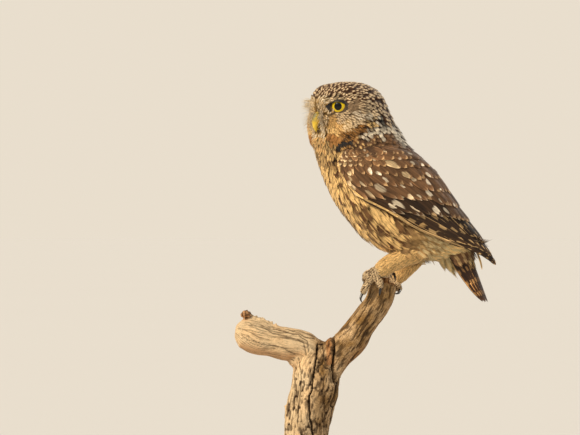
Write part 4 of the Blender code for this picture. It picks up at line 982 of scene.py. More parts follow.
def small_feathers(skin, name, keep, spacing, fingers, seed, variety=4):
    """One piece of the coat: soft feathers over the part of the skin that keep allows."""
    rng = np.random.default_rng(seed)
    roots = skin.scatter(lambda p, k: flow_at(p, k)[1][:, 2] * spacing * size("spacing"), keep, rng)
    spots, normals, kinds = skin.nearest(roots)
    flow, sizes, ground, mark, shape = flow_at(spots, kinds)
    length, half, _, lift = sizes.T
    count = len(length)
    length = length * rng.uniform(0.85, 1.15, count)
    flow = flow + rng.normal(0, 0.09, flow.shape)
    flow = unit(flow - (flow * normals).sum(1, keepdims=True) * normals)
    middle, middle_normal, _ = skin.nearest(spots + flow * (length * 0.5)[:, None])
    end, end_normal, _ = skin.nearest(spots + flow * length[:, None])
    straight = spots + flow * length[:, None]
    end = np.where(np.linalg.norm(end - straight, axis=1, keepdims=True) > 5.0, straight, end)
    lift = lift * rng.uniform(0.75, 1.2, count)
    raised = middle + middle_normal * (lift * 0.62)[:, None]
    lines = np.stack([spots - normals * 0.3, raised, end + end_normal * lift[:, None]], 1)
    bends = np.stack([normals, middle_normal, end_normal], 1)
    patches = coat_place(spots, (kinds == LEG) | (kinds == TOE))
    tone = rng.normal(1.0, 0.09, (count, 1))
    marks = np.hstack([mark * tone, rng.uniform(0.75, 1.0, (count, 1))])
    shape = shape * (1, 1, 1) + rng.normal(0, 0.05, shape.shape) * (1.0, 0.8, 0.4) * (shape[:, :1] > 0)
    shape = np.hstack([shape, np.zeros((count, 1))])
    coat = Coat()
    which = rng.integers(0, variety, count)
    for k in range(variety):
        chosen = which == k
        coat.add(
            fan_template(fingers, rng),
            *(values[chosen] for values in (lines, bends, half, np.full(count, 0.1), ground * tone, marks, shape)),
            patches[chosen],
            rng,
            0.16,
        )
    return coat.build(name, bpy.data.materials.get("soft feather") or feather_material("soft feather", "streak"))


# Tiers of the wing's feathers, from the lowest layer up: how many, u and v of the first and the last feather's root,
# u and v of their tips, their half widths, height of root and tip over the wing's surface, pattern, ground and shape
WING_TIERS = (
    (9, (3.9, 0.94), (4.6, 0.55), (6.3, 0.92), (8.0, 0.48), (3.0, 3.0), (-2.6, -0.7), "bar", "wing_dark", 5.5),
    (12, (3.1, 0.90), (3.2, 0.16), (5.9, 0.86), (7.3, 0.20), (3.9, 3.6), (-2.4, -0.3), "bar", "wing_dark", 4.5),
    (4, (3.1, 0.97), (4.6, 0.98), (4.7, 0.985), (6.2, 0.985), (0.9, 0.8), (-1.6, 0.1), "bar", "bar", 5.0),
    (12, (1.9, 0.95), (2.6, 0.30), (4.1, 0.95), (5.0, 0.30), (3.4, 3.8), (-2.0, 0.2), "spot", "wing_dark", 0),
    (11, (1.3, 0.95), (1.9, 0.32), (3.3, 0.95), (4.1, 0.32), (3.4, 3.9), (-1.8, 0.4), "spot", "wing_brown", 0),
    (10, (0.8, 0.95), (1.3, 0.34), (2.6, 0.95), (3.3, 0.34), (3.4, 3.8), (-1.6, 0.5), "spot", "wing_brown", 0),
    (10, (0.4, 0.92), (0.8, 0.35), (2.0, 0.94), (2.6, 0.36), (3.3, 3.6), (-1.5, 0.6), "spot", "wing_brown", 0),
    (10, (0.2, 0.90), (0.4, 0.35), (1.5, 0.93), (2.0, 0.38), (3.0, 3.3), (-1.4, 0.7), "spot", "shoulder", 0),
    (9, (0.05, 0.86), (0.2, 0.35), (1.1, 0.92), (1.5, 0.40), (2.8, 3.1), (-1.3, 0.7), "spot", "shoulder", 0),
    (9, (0.0, 0.80), (0.1, 0.35), (0.75, 0.90), (1.1, 0.42), (2.6, 2.9), (-1.2, 0.7), "spot", "shoulder", 0),
    (8, (0.0, 0.70), (0.0, 0.30), (0.42, 0.86), (0.7, 0.40), (2.4, 2.8), (-1.1, 0.6), "spot", "shoulder", 0),
    (11, (0.05, 0.93), (3.5, 0.985), (0.75, 0.95), (4.3, 0.985), (1.1, 0.8), (-0.9, 0.9), "bar", "cream", 1.0),
    (4, (3.9, 0.30), (4.0, 0.05), (5.9, 0.32), (6.2, 0.07), (4.0, 3.6), (-1.6, 0.4), "bar", "wing_dark", 3.5),
    (6, (3.2, 0.34), (3.3, 0.04), (4.9, 0.34), (5.2, 0.05), (4.2, 4.0), (-1.4, 0.7), "spot", "wing_brown", 0),
    (6, (2.5, 0.38), (2.6, 0.03), (4.2, 0.36), (4.5, 0.04), (4.4, 4.1), (-1.2, 0.9), "spot", "wing_brown", 0),
    (6, (1.8, 0.39), (1.9, 0.03), (3.5, 0.38), (3.8, 0.04), (4.5, 4.2), (-1.0, 1.1), "spot", "wing_brown", 0),
    (6, (1.1, 0.40), (1.2, 0.03), (2.8, 0.40), (3.1, 0.04), (4.5, 4.2), (-0.9, 1.2), "spot", "wing_brown", 0),
    (6, (0.5, 0.41), (0.6, 0.03), (2.1, 0.41), (2.4, 0.04), (4.4, 4.2), (-0.8, 1.3), "spot", "wing_brown", 0),
    (6, (0.1, 0.42), (0.1, 0.04), (1.4, 0.42), (1.7, 0.04), (4.3, 4.0), (-0.7, 1.3), "spot", "wing_brown", 0),
    (6, (0.0, 0.36), (0.0, 0.05), (0.8, 0.42), (1.0, 0.05), (4.0, 3.8), (-0.7, 1.2), "spot", "wing_brown", 0),
)

# Pale marks of the wing's small feathers: x, z, half length, half width and whether it is buff, mm
WING_MARKS = (
    (-2.2, 282.3, 2.3, 1.1, 0.3), (-0.1, 277.4, 2.2, 1.9, 0.2), (6.1, 273.6, 2.0, 1.0, 0.5), (15.2, 280.6, 1.8, 0.9, 0.6),
    (27.9, 274.3, 2.8, 1.9, 0.0), (20.4, 270.1, 9.0, 3.2, 0.7), (32.1, 261.1, 3.6, 2.1, 0.7), (36.4, 279.0, 2.4, 1.2, 0.0),
    (37.1, 270.8, 2.2, 1.9, 0.2), (45.6, 269.3, 2.1, 1.7, 0.0), (3.1, 264.7, 2.6, 2.4, 0.0), (4.4, 258.0, 3.2, 1.9, 0.4),
    (10.2, 261.6, 3.0, 1.6, 0.1), (15.2, 257.3, 2.6, 1.9, 0.1), (11.0, 250.5, 4.3, 4.0, 0.3), (4.0, 246.3, 4.0, 3.0, 0.6),
    (14.7, 243.5, 2.6, 2.4, 0.6), (23.2, 244.6, 2.6, 1.5, 0.1), (28.1, 244.2, 2.8, 2.1, 0.5), (35.4, 243.9, 2.4, 2.3, 0.5),
    (42.5, 243.2, 2.1, 1.9, 0.3), (46.9, 241.6, 1.9, 1.7, 0.8), (29.3, 252.6, 2.3, 1.9, 0.1), (37.5, 253.3, 1.5, 1.3, 0.2),
    (38.3, 258.8, 2.8, 2.3, 0.4), (50.0, 261.1, 2.6, 1.5, 0.1), (51.6, 255.5, 2.8, 2.2, 0.1), (51.2, 246.7, 4.0, 3.2, 0.0),
    (59.9, 249.5, 1.0, 1.0, 0.0), (26.0, 236.6, 6.0, 3.0, 0.1), (20.4, 236.2, 2.8, 1.8, 0.2), (39.2, 233.8, 4.7, 1.1, 0.4),
    (56.6, 232.9, 4.0, 3.2, 0.0), (64.7, 232.6, 3.8, 1.3, 0.1), (71.4, 237.3, 1.8, 1.4, 0.0), (61.3, 222.1, 2.8, 1.9, 0.8),
    (67.4, 221.6, 1.9, 1.5, 0.8), (53.3, 222.1, 2.8, 1.7, 0.8), (74.0, 214.1, 2.3, 1.5, 0.8), (79.2, 215.5, 2.2, 1.5, 0.6),
    (76.8, 223.9, 2.8, 1.1, 0.4), (-17.3, 269.1, 2.2, 2.0, 0.8), (-20.1, 272.9, 1.6, 1.1, 0.7), (-22.0, 267.2, 1.4, 1.0, 0.6),
    (-10.7, 263.9, 1.9, 1.6, 0.8), (-7.4, 260.6, 2.0, 1.3, 0.7), (-12.1, 252.2, 3.6, 2.6, 0.6), (-2.7, 251.2, 3.8, 2.0, 0.5),
    (-8.3, 245.1, 3.8, 2.3, 0.3), (-14.0, 258.5, 2.2, 1.2, 0.7), (-5.0, 269.5, 1.5, 1.1, 0.8), (60.5, 240.5, 2.2, 1.4, 0.3),
)


def give_marks(lines, half, heights):
    """For each feather line, the mark it carries: across and along its middle, half length, half width, buff or not.

    A mark goes to the feather that lies outermost at its place, or to the nearest free one, if that has its mark.
    """
    count = len(lines)
    found = np.tile((0.0, 0.97, 0.06, 0.9, 0.85), (count, 1))
    free = np.ones(count, bool)
    t = np.linspace(0.1, 0.96, 44)
    place, slope = curve_rows(lines, t)
    height = curve_rows(heights[..., None], t)[0][..., 0]
    width = half[:, None] * np.minimum(0.5 + 1.6 * t, 1) * (1 - np.maximum(0, (t - 0.62) / 0.38) ** 1.9) ** 0.5
    lengths = np.linalg.norm(lines[:, 2] - lines[:, 0], axis=1)
    row = np.arange(count)
    for x, z, long, wide, buff in sorted(WING_MARKS, key=lambda mark: -mark[2] * mark[3]):
        offset = np.array((x, z)) - place[..., [0, 2]]
        reach = np.linalg.norm(offset, axis=-1)
        near = reach.argmin(1)
        share = reach[row, near] / width[row, near]
        top = np.where(share < 0.9, height[row, near] - 0.12 * share**2 * half, -99.0)
        k = top.argmax()
        i = near[k]
        if top[k] < -50 or not free[k]:
            gap = reach + 5.0 * np.maximum(0.7 - t, 0) + np.where(free, 0, 50)[:, None]
            k, i = np.unravel_index(gap.argmin(), gap.shape)
            if gap[k, i] > 4.6:
                continue
        free[k] = False
        way = unit(slope[k, i][[0, 2]])
        aside = offset[k, i] @ np.array((-way[1], way[0]))
        aside = float(np.clip(aside / half[k], -0.6, 0.6))
        found[k] = (aside, t[i], min(long / lengths[k], 0.42), min(wide / half[k], 0.8), buff)
    wrist = free & (lines[:, 2, 0] < -9.0) & (lines[:, 2, 2] > 250.0) & (np.arange(count) % 4 > 0)
    found[wrist] = (0.0, 0.93, 0.09, 0.8, 0.65)
    return found


def wing_feathers(side):
    """The feathers of one folded wing, tier over tier. The right wing mirrors the left one."""
    rng = np.random.default_rng(11)
    lines, bends, half, kinds, grounds, waves, patches, rises = [], [], [], [], [], [], [], []
    for tier, (count, root_a, root_b, tip_a, tip_b, halves, heights, pattern, ground, wave) in enumerate(WING_TIERS):
        share = np.linspace(0, 1, count)[:, None]
        root = np.array(root_a) * (1 - share) + np.array(root_b) * share
        tip = np.array(tip_a) * (1 - share) + np.array(tip_b) * share
        loose = 0.35 if ground in ("cream", "rufous") else 1.0
        root = root + rng.normal(0, 0.012 * loose, root.shape)
        tip = tip + rng.normal(0, 0.035 * loose, tip.shape) * (1.0, 0.35)
        tip[:, 0] = np.minimum(tip[:, 0], 8.2)
        line, bend, rise = [], [], []
        for t in (0.0, 0.5, 1.0):
            spot, normal = wing_surface(*(root * (1 - t) + tip * t).T)
            height = heights[0] + (heights[1] - heights[0]) * t**0.8 + 0.25 * (np.arange(count) % 2)
            line.append(spot + normal * height[:, None])
            bend.append(normal)
            rise.append(height)
        lines.append(np.stack(line, 1))
        bends.append(np.stack(bend, 1))
        rises.append(np.stack(rise, 1))
        half.append(halves[0] + (halves[1] - halves[0]) * share[:, 0])
        kinds += [pattern] * count
        tone = rng.normal(1.0, 0.1, (count, 1))
        grounds.append(colour(ground) * tone)
        waves += [wave] * count
        patches.append(np.stack([0.02 + 0.95 * root[:, 1], 0.02 + 0.95 * root[:, 0] / 8 + 0.012 * (tier % 3)], -1))
    lines, bends, half, grounds, patches, rises = map(np.concatenate, (lines, bends, half, grounds, patches, rises))
    kinds = np.array(kinds)
    spotted = np.flatnonzero(kinds == "spot")
    marks = np.zeros((len(lines), 5))
    marks[spotted] = give_marks(lines[spotted], half[spotted], rises[spotted])
    coats = {"bar": Coat(), "spot": Coat()}
    for k, pattern in enumerate(kinds):
        if pattern == "spot":
            pale = colour("white") * (1 - marks[k, 4]) + (colour("bar") + colour("cream")) / 2 * marks[k, 4]
            mark, shape = [*pale, rng.uniform(0.85, 1.0) * (0.3 if marks[k, 1] > 0.95 else 1.0)], marks[k, :4]
        else:
            mark, shape = [*colour("bar"), 0.9], (0.04, waves[k], 0.8, 0.0)
        one = slice(k, k + 1)
        coats[pattern].add(
            vane_template(11, 0.8 if pattern == "spot" else 1.3, int(rng.integers(1 << 30))),
            *(values[one] for values in (lines, bends, half)),
            np.full(1, 0.25),
            grounds[one],
            np.array([mark]),
            np.array([shape]),
            patches[one],
            rng,
            0.12,
        )
    if side == "right":
        for coat in coats.values():
            coat.mirror()
    return coats["bar"], coats["spot"]


def tail_feathers():
    """The tail's twelve feathers, with the middle pair on top, and the coverts above and under its root."""
    rng = np.random.default_rng(23)
    barred, soft = Coat(), Coat()
    t = np.array((0.0, 0.5, 1.0))

    def lay(coat, template, line, normal, half, thick, ground, mark, shape, patch):
        coat.add(
            template, line[None], normal[None], np.array((half,)), np.array((thick,)), np.array([ground]),
            np.array([mark]), np.array([shape]), np.array([patch]), rng, 0.12,
        )

    for k in range(12):
        share = 2 * k / 11 - 1
        end = TAIL_LENGTH + 4.8 - 2.0 * abs(share) - rng.uniform(0, 2.4)
        spot, normal = tail_surface(2.0 + (end - 2.0) * t, np.full(3, TAIL_SPREAD * share))
        height = -2.0 + 1.8 * t + 0.9 * (1 - abs(share)) * t
        line = spot + normal * height[:, None]
        ground, mark = colour("tail_brown") * rng.normal(1.0, 0.08), (*colour("tail_bar"), 0.9)
        patch = (0.1 + 0.8 * k / 12, 0.2)
        lay(barred, vane_template(12, 0.7, k), line, normal, 2.9, 0.25, ground, mark, (0.1, 4.0, 0.9, 0.0), patch)
    for along, length, lift in ((0.0, 13.0, 1.4), (-5.0, 14.0, 2.2)):
        for k in range(9):
            angle = 0.9 * (k / 4 - 1)
            spot, normal = tail_surface(along + length * t, np.full(3, TAIL_SPREAD * angle))
            line = spot + normal * (-1.0 + (lift + 1.0) * t)[:, None]
            patch = (0.5 + 0.4 * angle, 0.5 + along * 0.02)
            mark = (*colour("bar"), 0.8)
            lay(soft, fan_template(9, rng), line, normal, 4.2, 0.12, colour("wing_brown"), mark, (0.3, 0.5, 0.9, 0.0), patch)
    under = [(-18.6 + 0.15 * y, y, 10.8 - 0.1 * y, 5.0) for y in (0.5, 3.5, 6.5)]
    under += [(-13.9 - 0.1 * y, y, 16.5 - 0.2 * y, 4.6) for y in (0.5, 3.5, 6.5, 9.0)]
    under += [(-17.0, 8.5, 6.5, 4.2), (-16.3, 3.0, 8.0, 4.4), (-12.5, 9.5, 9.0, 4.4), (-11.5, 5.0, 9.5, 4.2)]
    for (height, sideways, length, half), side in itertools.product(under, (-1, 1)):
        along = -5.0 + (length + 5.0) * t
        middle = TAIL_ROOT + TAIL_DIRECTION * along[:, None] + TAIL_BACK * (height + along * 0.22)[:, None]
        middle = middle + np.array((0, side * sideways, 0))
        normal = unit(-TAIL_BACK + np.array((0, side * sideways * 0.08, 0)))[None].repeat(3, 0)
        line = middle + normal * (-1.6 + 2.6 * t)[:, None]
        patch = (0.5 + side * sideways * 0.03, 0.8 + length * 0.005)
        mark = (*colour("cream"), 0.5)
        lay(soft, fan_template(13, rng), line, normal, half, 0.12, colour("vent_white"), mark, (0.2, 0.4, 0.9, 0.0), patch)
    loose = np.array(((87.5, -9.0, 203.0), (92.6, -9.0, 193.5), (94.9, -8.5, 183.5)))
    facing = np.tile((0.4, -0.9, 0.1), (3, 1))
    lay(barred, vane_template(10, 1.0, 99), loose, facing, 0.9, 0.2, colour("bar"), mark, (0.2, 2.0, 0.3, 0.0), (0.05, 0.9))
    return barred, soft


def bristles():
    """Fine bristles round the bill and over its base, pale with dark ends, and a pale tuft on the far brow."""
    rng = np.random.default_rng(5)
    points, faces, tints, patches, first = [], [], [], [], 0
    t = np.linspace(0, 1, 5)[:, None]
    along = np.concatenate([np.repeat(t[:, 0], 3), [0.0, 1.0]])
    around_it = np.concatenate([np.tile((0.0, 0.5, 1.0), 5), [0.0, 0.0]])
    for side, k in [(1, k) for k in range(170)] + [(-1, k) for k in range(250)]:
        around = rng.uniform(-1.0, 1.0)
        root = np.array((30.5 - 2.5 * abs(around), side * (3.6 + 3.6 * rng.uniform(0, 1)), -3.0 + 8.5 * around))
        out = unit(np.array((0.75, side * rng.uniform(0.1, 0.7), rng.uniform(-0.5, 0.35) + 0.35 * around)))
        length = rng.uniform(4.0, 10.0)
        on_brow = k >= 170
        if on_brow:
            root = np.array((29.0, side * rng.uniform(7.0, 12.0), 6.5 + 3.5 * around))
            out = unit(np.array((0.55, side * rng.uniform(0.5, 1.2), rng.uniform(-0.3, 0.6))))
            length = rng.uniform(4.5, 8.5)
        bend = np.array((0.05, side * 0.25, -0.35)) * length
        radii = np.linspace(0.26 if on_brow else 0.17, 0.03, 5)
        p, f = tube(head_to_world(root + out * length * t + bend * t**2 * 0.6), radii, 3)
        points.append(p)
        faces.append(f + first)
        first += len(p)
        tints.append(along * rng.choice((0.2, 1.0), p=(1.0, 0.0) if on_brow else (0.8, 0.2)))
        place = coat_place(head_to_world(root)[None], np.zeros(1, bool))
        patches.append(place + np.stack([around_it * 0.0015, along * 0.003], -1))
    material, tree, shader = new_material("bristle", 0.5)
    share = attribute(tree, "share").outputs["Fac"]
    tone = mixed(tree, step(tree, share, 0.35, 0.95), tuple(colour("white")), tuple(colour("wing_dark")))
    tree.links.new(tone, shader.inputs["Base Color"])
    shares = {"share": np.concatenate(tints)}
    return make_mesh("bristles", np.vstack(points), np.vstack(faces), material, None, shares, np.vstack(patches))


def outside_eyes_and_bill(points):
    """Whether feathers may root at each point, which is true off the eyes' rims and the bill."""
    local = world_to_head(points)
    local[:, 1] = np.abs(local[:, 1])
    axis = np.array((math.cos(EYE_SPLAY), math.sin(EYE_SPLAY), 0.0))
    offset = local - EYE_APEX
    aside = offset - (offset @ axis)[:, None] * axis
    flat = np.hypot(aside[:, 0], aside[:, 1]) * np.sign(aside[:, 1])
    rim = (flat / np.where(flat < 0, 11.2, 8.5)) ** 2 + ((aside[:, 2] + 0.9) / 5.8) ** 2
    bill = (local[:, 0] > 28) & (local[:, 1] < 3.6) & (local[:, 2] < 0.0) & (local[:, 2] > -16.0)
    return ((rim > 1.0) | (local[:, 0] < 5)) & ~bill


# The branch's parts, from root to end: x, z and radius along each centre line, mm
BRANCH = {
    "trunk": (
        (-51.0, 36.0, 17.4), (-49.2, 49.4, 18.2), (-47.6, 62.0, 19.3), (-45.5, 74.0, 19.8), (-42.0, 86.0, 19.9),
        (-40.0, 97.0, 20.2), (-38.0, 106.0, 18.2), (-34.0, 115.0, 13.0),
    ),
    "limb": (
        (-34.0, 100.0, 14.0), (-25.6, 113.2, 13.2), (-14.1, 124.4, 13.2), (-5.6, 134.9, 12.1), (2.8, 146.9, 11.3),
        (8.0, 155.0, 11.2), (12.0, 163.8, 12.2), (14.8, 174.5, 11.3),
    ),
    "stub": (
        (-36.0, 112.0, 12.6), (-42.4, 116.3, 12.2), (-53.9, 121.8, 13.2), (-65.9, 123.3, 14.4), (-78.5, 125.6, 13.4),
        (-88.4, 127.8, 14.2), (-97.0, 130.7, 13.4), (-101.5, 132.2, 12.0), (-105.1, 132.8, 9.0), (-107.4, 133.0, 5.0),
    ),
}


# Operators


class OwlOperator:
    bl_options = {"REGISTER", "UNDO"}


class OWL_OT_skin(OwlOperator, bpy.types.Operator):
    """Make one skin under the plumage"""

    bl_idname = "owl.skin"
    bl_label = "Skin"

    def execute(self, context):
        points, faces, kinds = build_skin()
        made_skin[:] = [Skin(points, faces, kinds)]
        material, tree, shader = new_material("skin", 0.7)
        shown = attribute(tree, "shown").outputs["Color"]
        grain = textured(tree, put(tree, "ShaderNodeTexCoord").outputs["Object"], 900.0)
        tone = mixed(tree, calc(tree, "MULTIPLY", grain, 0.5), shown, tuple(colour("wing_dark")))
        tree.links.new(tone, shader.inputs["Base Color"])
        bumped(tree, shader, grain, 0.5, 0.0004)
        shades = np.hstack([skin_colours(points, kinds), np.ones((len(points), 1))])
        obj = make_mesh("skin", points, faces, material, None, {"shown": shades})
        finish_piece(obj, "plumage", *FLESH)
        return {"FINISHED"}


class OWL_OT_plumage(OwlOperator, bpy.types.Operator):
    """Lay the small feathers over head, body and legs"""

    bl_idname = "owl.plumage"
    bl_label = "Small feathers"

    def execute(self, context):
        skin = made_skin[0]

        def on_face(sign):
            def keep(points, kinds):
                local = world_to_head(points)
                chosen = (kinds == HEAD) & (local[:, 0] > 6) & (local[:, 1] * sign >= 0)
                return chosen & outside_eyes_and_bill(points)

            return keep

        def on_crown(points, kinds):
            return (kinds == HEAD) & (world_to_head(points)[:, 0] <= 6)

        def on_back(points, kinds):
            line = points[:, 0] - (-18.0 + (300.0 - points[:, 2]) * 0.95)
            return (kinds == BODY) & (line > 0) & (points[:, 2] > 215)

        def on_front(points, kinds):
            return (kinds == BODY) & (points[:, 0] < 20) & ~on_back(points, kinds)

        def on_vent(points, kinds):
            return (kinds == BODY) & (points[:, 0] >= 20) & ~on_back(points, kinds)

        pieces = (
            ("face_feathers_left", on_face(1), 1.0, 5, 31),
            ("face_feathers_right", on_face(-1), 1.0, 5, 32),
            ("crown_feathers", on_crown, 1.0, 7, 33),
            ("breast_feathers", on_front, 0.86, 9, 34),
            ("vent_feathers", on_vent, 0.82, 11, 35),
            ("back_feathers", on_back, 0.9, 9, 36),
            ("leg_feathers", lambda p, k: k == LEG, 1.0, 5, 37),
            ("toe_feathers", lambda p, k: k == TOE, 1.0, 3, 38),
        )
        for name, keep, spacing, fingers, seed in pieces:
            obj = small_feathers(skin, name, keep, spacing, fingers, seed)
            finish_piece(obj, "leg_feather" if name in ("leg_feathers", "toe_feathers") else "plumage")
        finish_piece(bristles(), "plumage")
        return {"FINISHED"}


class OWL_OT_wings(OwlOperator, bpy.types.Operator):
    """Lay the feathers of both wings"""

    bl_idname = "owl.wings"
    bl_label = "Wings"

    def execute(self, context):
        barred = feather_material("barred feather", "bar")
        spotted = feather_material("spotted feather", "spot")
        for side in SIDES:
            coat, coverts = wing_feathers(side)
            finish_piece(coat.build(f"flight_feathers_{side}", barred), "flight", f"wing_{side}")
            finish_piece(coverts.build(f"wing_coverts_{side}", spotted), "flight")
        return {"FINISHED"}


class OWL_OT_tail(OwlOperator, bpy.types.Operator):
    """Lay the tail's feathers and their coverts"""

    bl_idname = "owl.tail"
    bl_label = "Tail"

    def execute(self, context):
        barred, soft = tail_feathers()
        finish_piece(barred.build("tail_feathers", bpy.data.materials["barred feather"]), "flight", "tail")
        finish_piece(soft.build("tail_coverts", bpy.data.materials["soft feather"]), "plumage")
        return {"FINISHED"}


class OWL_OT_eyes(OwlOperator, bpy.types.Operator):
    """Make the eyes and their lids"""

    bl_idname = "owl.eyes"
    bl_label = "Eyes"

    def execute(self, context):
        material, tree, shader = new_material("eye", 0.28, 0.1)
        aside = attribute(tree, "aside").outputs["Fac"]
        rays = textured(tree, attribute(tree, "turn").outputs["Vector"], 14.0, 2.0)
        yellow = colour("iris")
        iris = mixed(tree, step(tree, rays, 0.35, 0.7), tuple(yellow), tuple(yellow * (0.85, 0.76, 0.6)))
        iris = mixed(tree, step(tree, aside, 6.0, 7.0), iris, tuple(yellow * (0.5, 0.36, 0.2)))
        ring = calc(tree, "MULTIPLY", step(tree, aside, 3.1, 3.6), calc(tree, "SUBTRACT", 1.0, step(tree, aside, 3.9, 4.8)))
        iris = mixed(tree, calc(tree, "MULTIPLY", ring, 0.35), iris, tuple(yellow * (0.7, 0.7, 0.9)))
        shown = mixed(tree, calc(tree, "SUBTRACT", 1.0, step(tree, aside, 3.2, 3.4)), iris, (0.004, 0.004, 0.004))
        shown = mixed(tree, step(tree, aside, 7.0, 7.3), shown, (0.02, 0.014, 0.01))
        tree.links.new(shown, shader.inputs["Base Color"])
        shader.inputs["Coat Weight"].default_value = 0.45
        shader.inputs["Coat Roughness"].default_value = 0.02
        lid, lid_tree, lid_shader = new_material("lid", 0.45)
        grain = textured(lid_tree, put(lid_tree, "ShaderNodeTexCoord").outputs["Object"], 1500.0)
        tone = mixed(lid_tree, grain, tuple(colour("claw")), tuple(colour("claw") * 1.6))
        lid_tree.links.new(tone, lid_shader.inputs["Base Color"])
        bumped(lid_tree, lid_shader, grain, 0.4, 0.0003)
        for side, name in ((1, "left"), (-1, "right")):
            axis = np.array((math.cos(EYE_SPLAY), side * math.sin(EYE_SPLAY), 0.0))
            across = np.array((-math.sin(EYE_SPLAY), side * math.cos(EYE_SPLAY), 0.0))
            up = np.array((0.0, 0.0, 1.0))
            centre = EYE_APEX * (1, side, 1) - axis * EYE_RADIUS
            points, faces = ball((0, 0, 0), np.eye(3) * EYE_RADIUS, 64, 48)
            out = np.hypot(points[:, 0], points[:, 1])
            edge, bulge = 7.0, 10.0
            cap = math.sqrt(EYE_RADIUS**2 - edge**2) - math.sqrt(bulge**2 - edge**2)
            front = (points[:, 2] > 0) & (out < edge)
            points[front, 2] = cap + np.sqrt(bulge**2 - out[front] ** 2)
            out = np.where(points[:, 2] > 0, out, 9.0)
            turned = points @ np.array((across, up, axis)) + centre
            around = np.stack([points[:, 0], points[:, 1], np.zeros(len(points))], -1)
            faces = faces if np.linalg.det((across, up, axis)) * np.linalg.det(HEAD_AXES) > 0 else faces[:, ::-1]
            eye = make_mesh(
                f"eye_ball_{name}", head_to_world(turned), faces, material, None, {"aside": out, "turn": unit(around)}
            )
            finish_piece(eye, "eye", f"eye_{name}")
            finish_piece(self.lids(f"lids_{name}", centre, across, up, axis, lid), "plumage")
        return {"FINISHED"}

    def lids(self, name, centre, across, up, axis, material):
        """A soft dark rim round the opening, widest towards the bill and above, that lies on the eyeball."""
        sides, rows = 72, 12
        turns = np.linspace(0, math.tau, sides, endpoint=False)
        above, front, back = (np.clip(k, 0, 1) for k in (np.sin(turns), -np.cos(turns), np.cos(turns)))
        thick = 0.5 + 0.4 * above + 1.3 * front**1.2 + 0.5 * back**1.5
        rings = []
        for profile in np.linspace(0, math.tau, rows, endpoint=False):
            grow = 2 * thick * (1 - math.cos(profile)) / 2
            x = np.cos(turns) * (6.75 + grow)
            z = np.sin(turns) * (4.5 + grow) - 0.9
            out = np.hypot(x, z)
            reach = np.sqrt(EYE_RADIUS**2 - np.minimum(out, 7.3) ** 2) - 0.45 * np.maximum(out - 7.3, 0)
            reach = reach + 0.25 + 0.5 * front + 0.2 * above + thick * 0.4 * math.sin(profile)
            spots = centre + x[:, None] * across + z[:, None] * up
            for j, origin in enumerate(head_to_world(spots + 20.0 * axis)):
                hit = made_skin[0].tree.ray_cast(Vector(origin), Vector(-axis @ HEAD_AXES), 20.0)[3]
                if hit is not None and out[j] > 7.0:
                    reach[j] = max(reach[j], 20.2 - hit + 0.3 * math.sin(profile))
            rings.append(spots + reach[:, None] * axis)
        faces = []
        for i, j in itertools.product(range(rows), range(sides)):
            a, b = i * sides + j, i * sides + (j + 1) % sides
            c, d = ((i + 1) % rows) * sides + (j + 1) % sides, ((i + 1) % rows) * sides + j
            faces += [(a, b, c), (a, c, d)]
        obj = make_mesh(name, head_to_world(np.vstack(rings)), np.array(faces), material)
        work = bmesh.new()
        work.from_mesh(obj.data)
        bmesh.ops.recalc_face_normals(work, faces=work.faces)
        work.to_mesh(obj.data)
        work.free()
        return obj


class OWL_OT_bill(OwlOperator, bpy.types.Operator):
    """Make the bill's two halves"""

    bl_idname = "owl.bill"
    bl_label = "Bill"

    def execute(self, context):
        material, tree, shader = new_material("horn", 0.34, 0.45)
        spot = put(tree, "ShaderNodeTexCoord").outputs["Object"]
        cloud = textured(tree, spot, 260.0)
        base = attribute(tree, "base").outputs["Fac"]
        tone = mixed(tree, step(tree, base, 0.25, 0.95), tuple(colour("bill")), tuple(colour("bill_base")))
        tone = mixed(tree, step(tree, cloud, 0.4, 0.75), tone, tuple(colour("bill") * 1.25))
        tree.links.new(tone, shader.inputs["Base Color"])
        bumped(tree, shader, cloud, 0.15, 0.0004)
        shader.inputs["Coat Weight"].default_value = 0.25
        shader.inputs["Coat Roughness"].default_value = 0.2
        for node in ("bill_upper", "bill_lower"):
            points, faces = remeshed(node, [cad_source(node)], 0.24)
            points = smoothed(points, faces, 4, 0.5)
            points = points + vertex_normals(points, faces) * 0.1
            local = world_to_head(points)
            share = smooth_step(local[:, 2], -13.0, -3.0)
            local[:, 1] *= 0.76
            points = head_to_world(local)
            obj = make_mesh(node + "_horn", points, faces, material, None, {"base": share})
            finish_piece(obj, "horn", node)
        return {"FINISHED"}


class OWL_OT_claws(OwlOperator, bpy.types.Operator):
    """Make the eight claws"""

    bl_idname = "owl.claws"
    bl_label = "Claws"

    def execute(self, context):
        material, tree, shader = new_material("claw", 0.3, 0.5)
        grain = textured(tree, put(tree, "ShaderNodeTexCoord").outputs["Object"], 700.0)
        tone = mixed(tree, step(tree, grain, 0.4, 0.8), tuple(colour("claw")), tuple(colour("claw") * 3.0))
        tree.links.new(tone, shader.inputs["Base Color"])
        bumped(tree, shader, grain, 0.15, 0.0003)
        for side, number in itertools.product(SIDES, range(1, 5)):
            node = f"claw_{side}_{number}"
            points, faces = remeshed(node, [cad_source(node)], 0.22)
            points = smoothed(points, faces, 3, 0.5)
            points = points + vertex_normals(points, faces) * 0.12
            finish_piece(make_mesh(node + "_horn", points, faces, material), "claw", node)
        return {"FINISHED"}


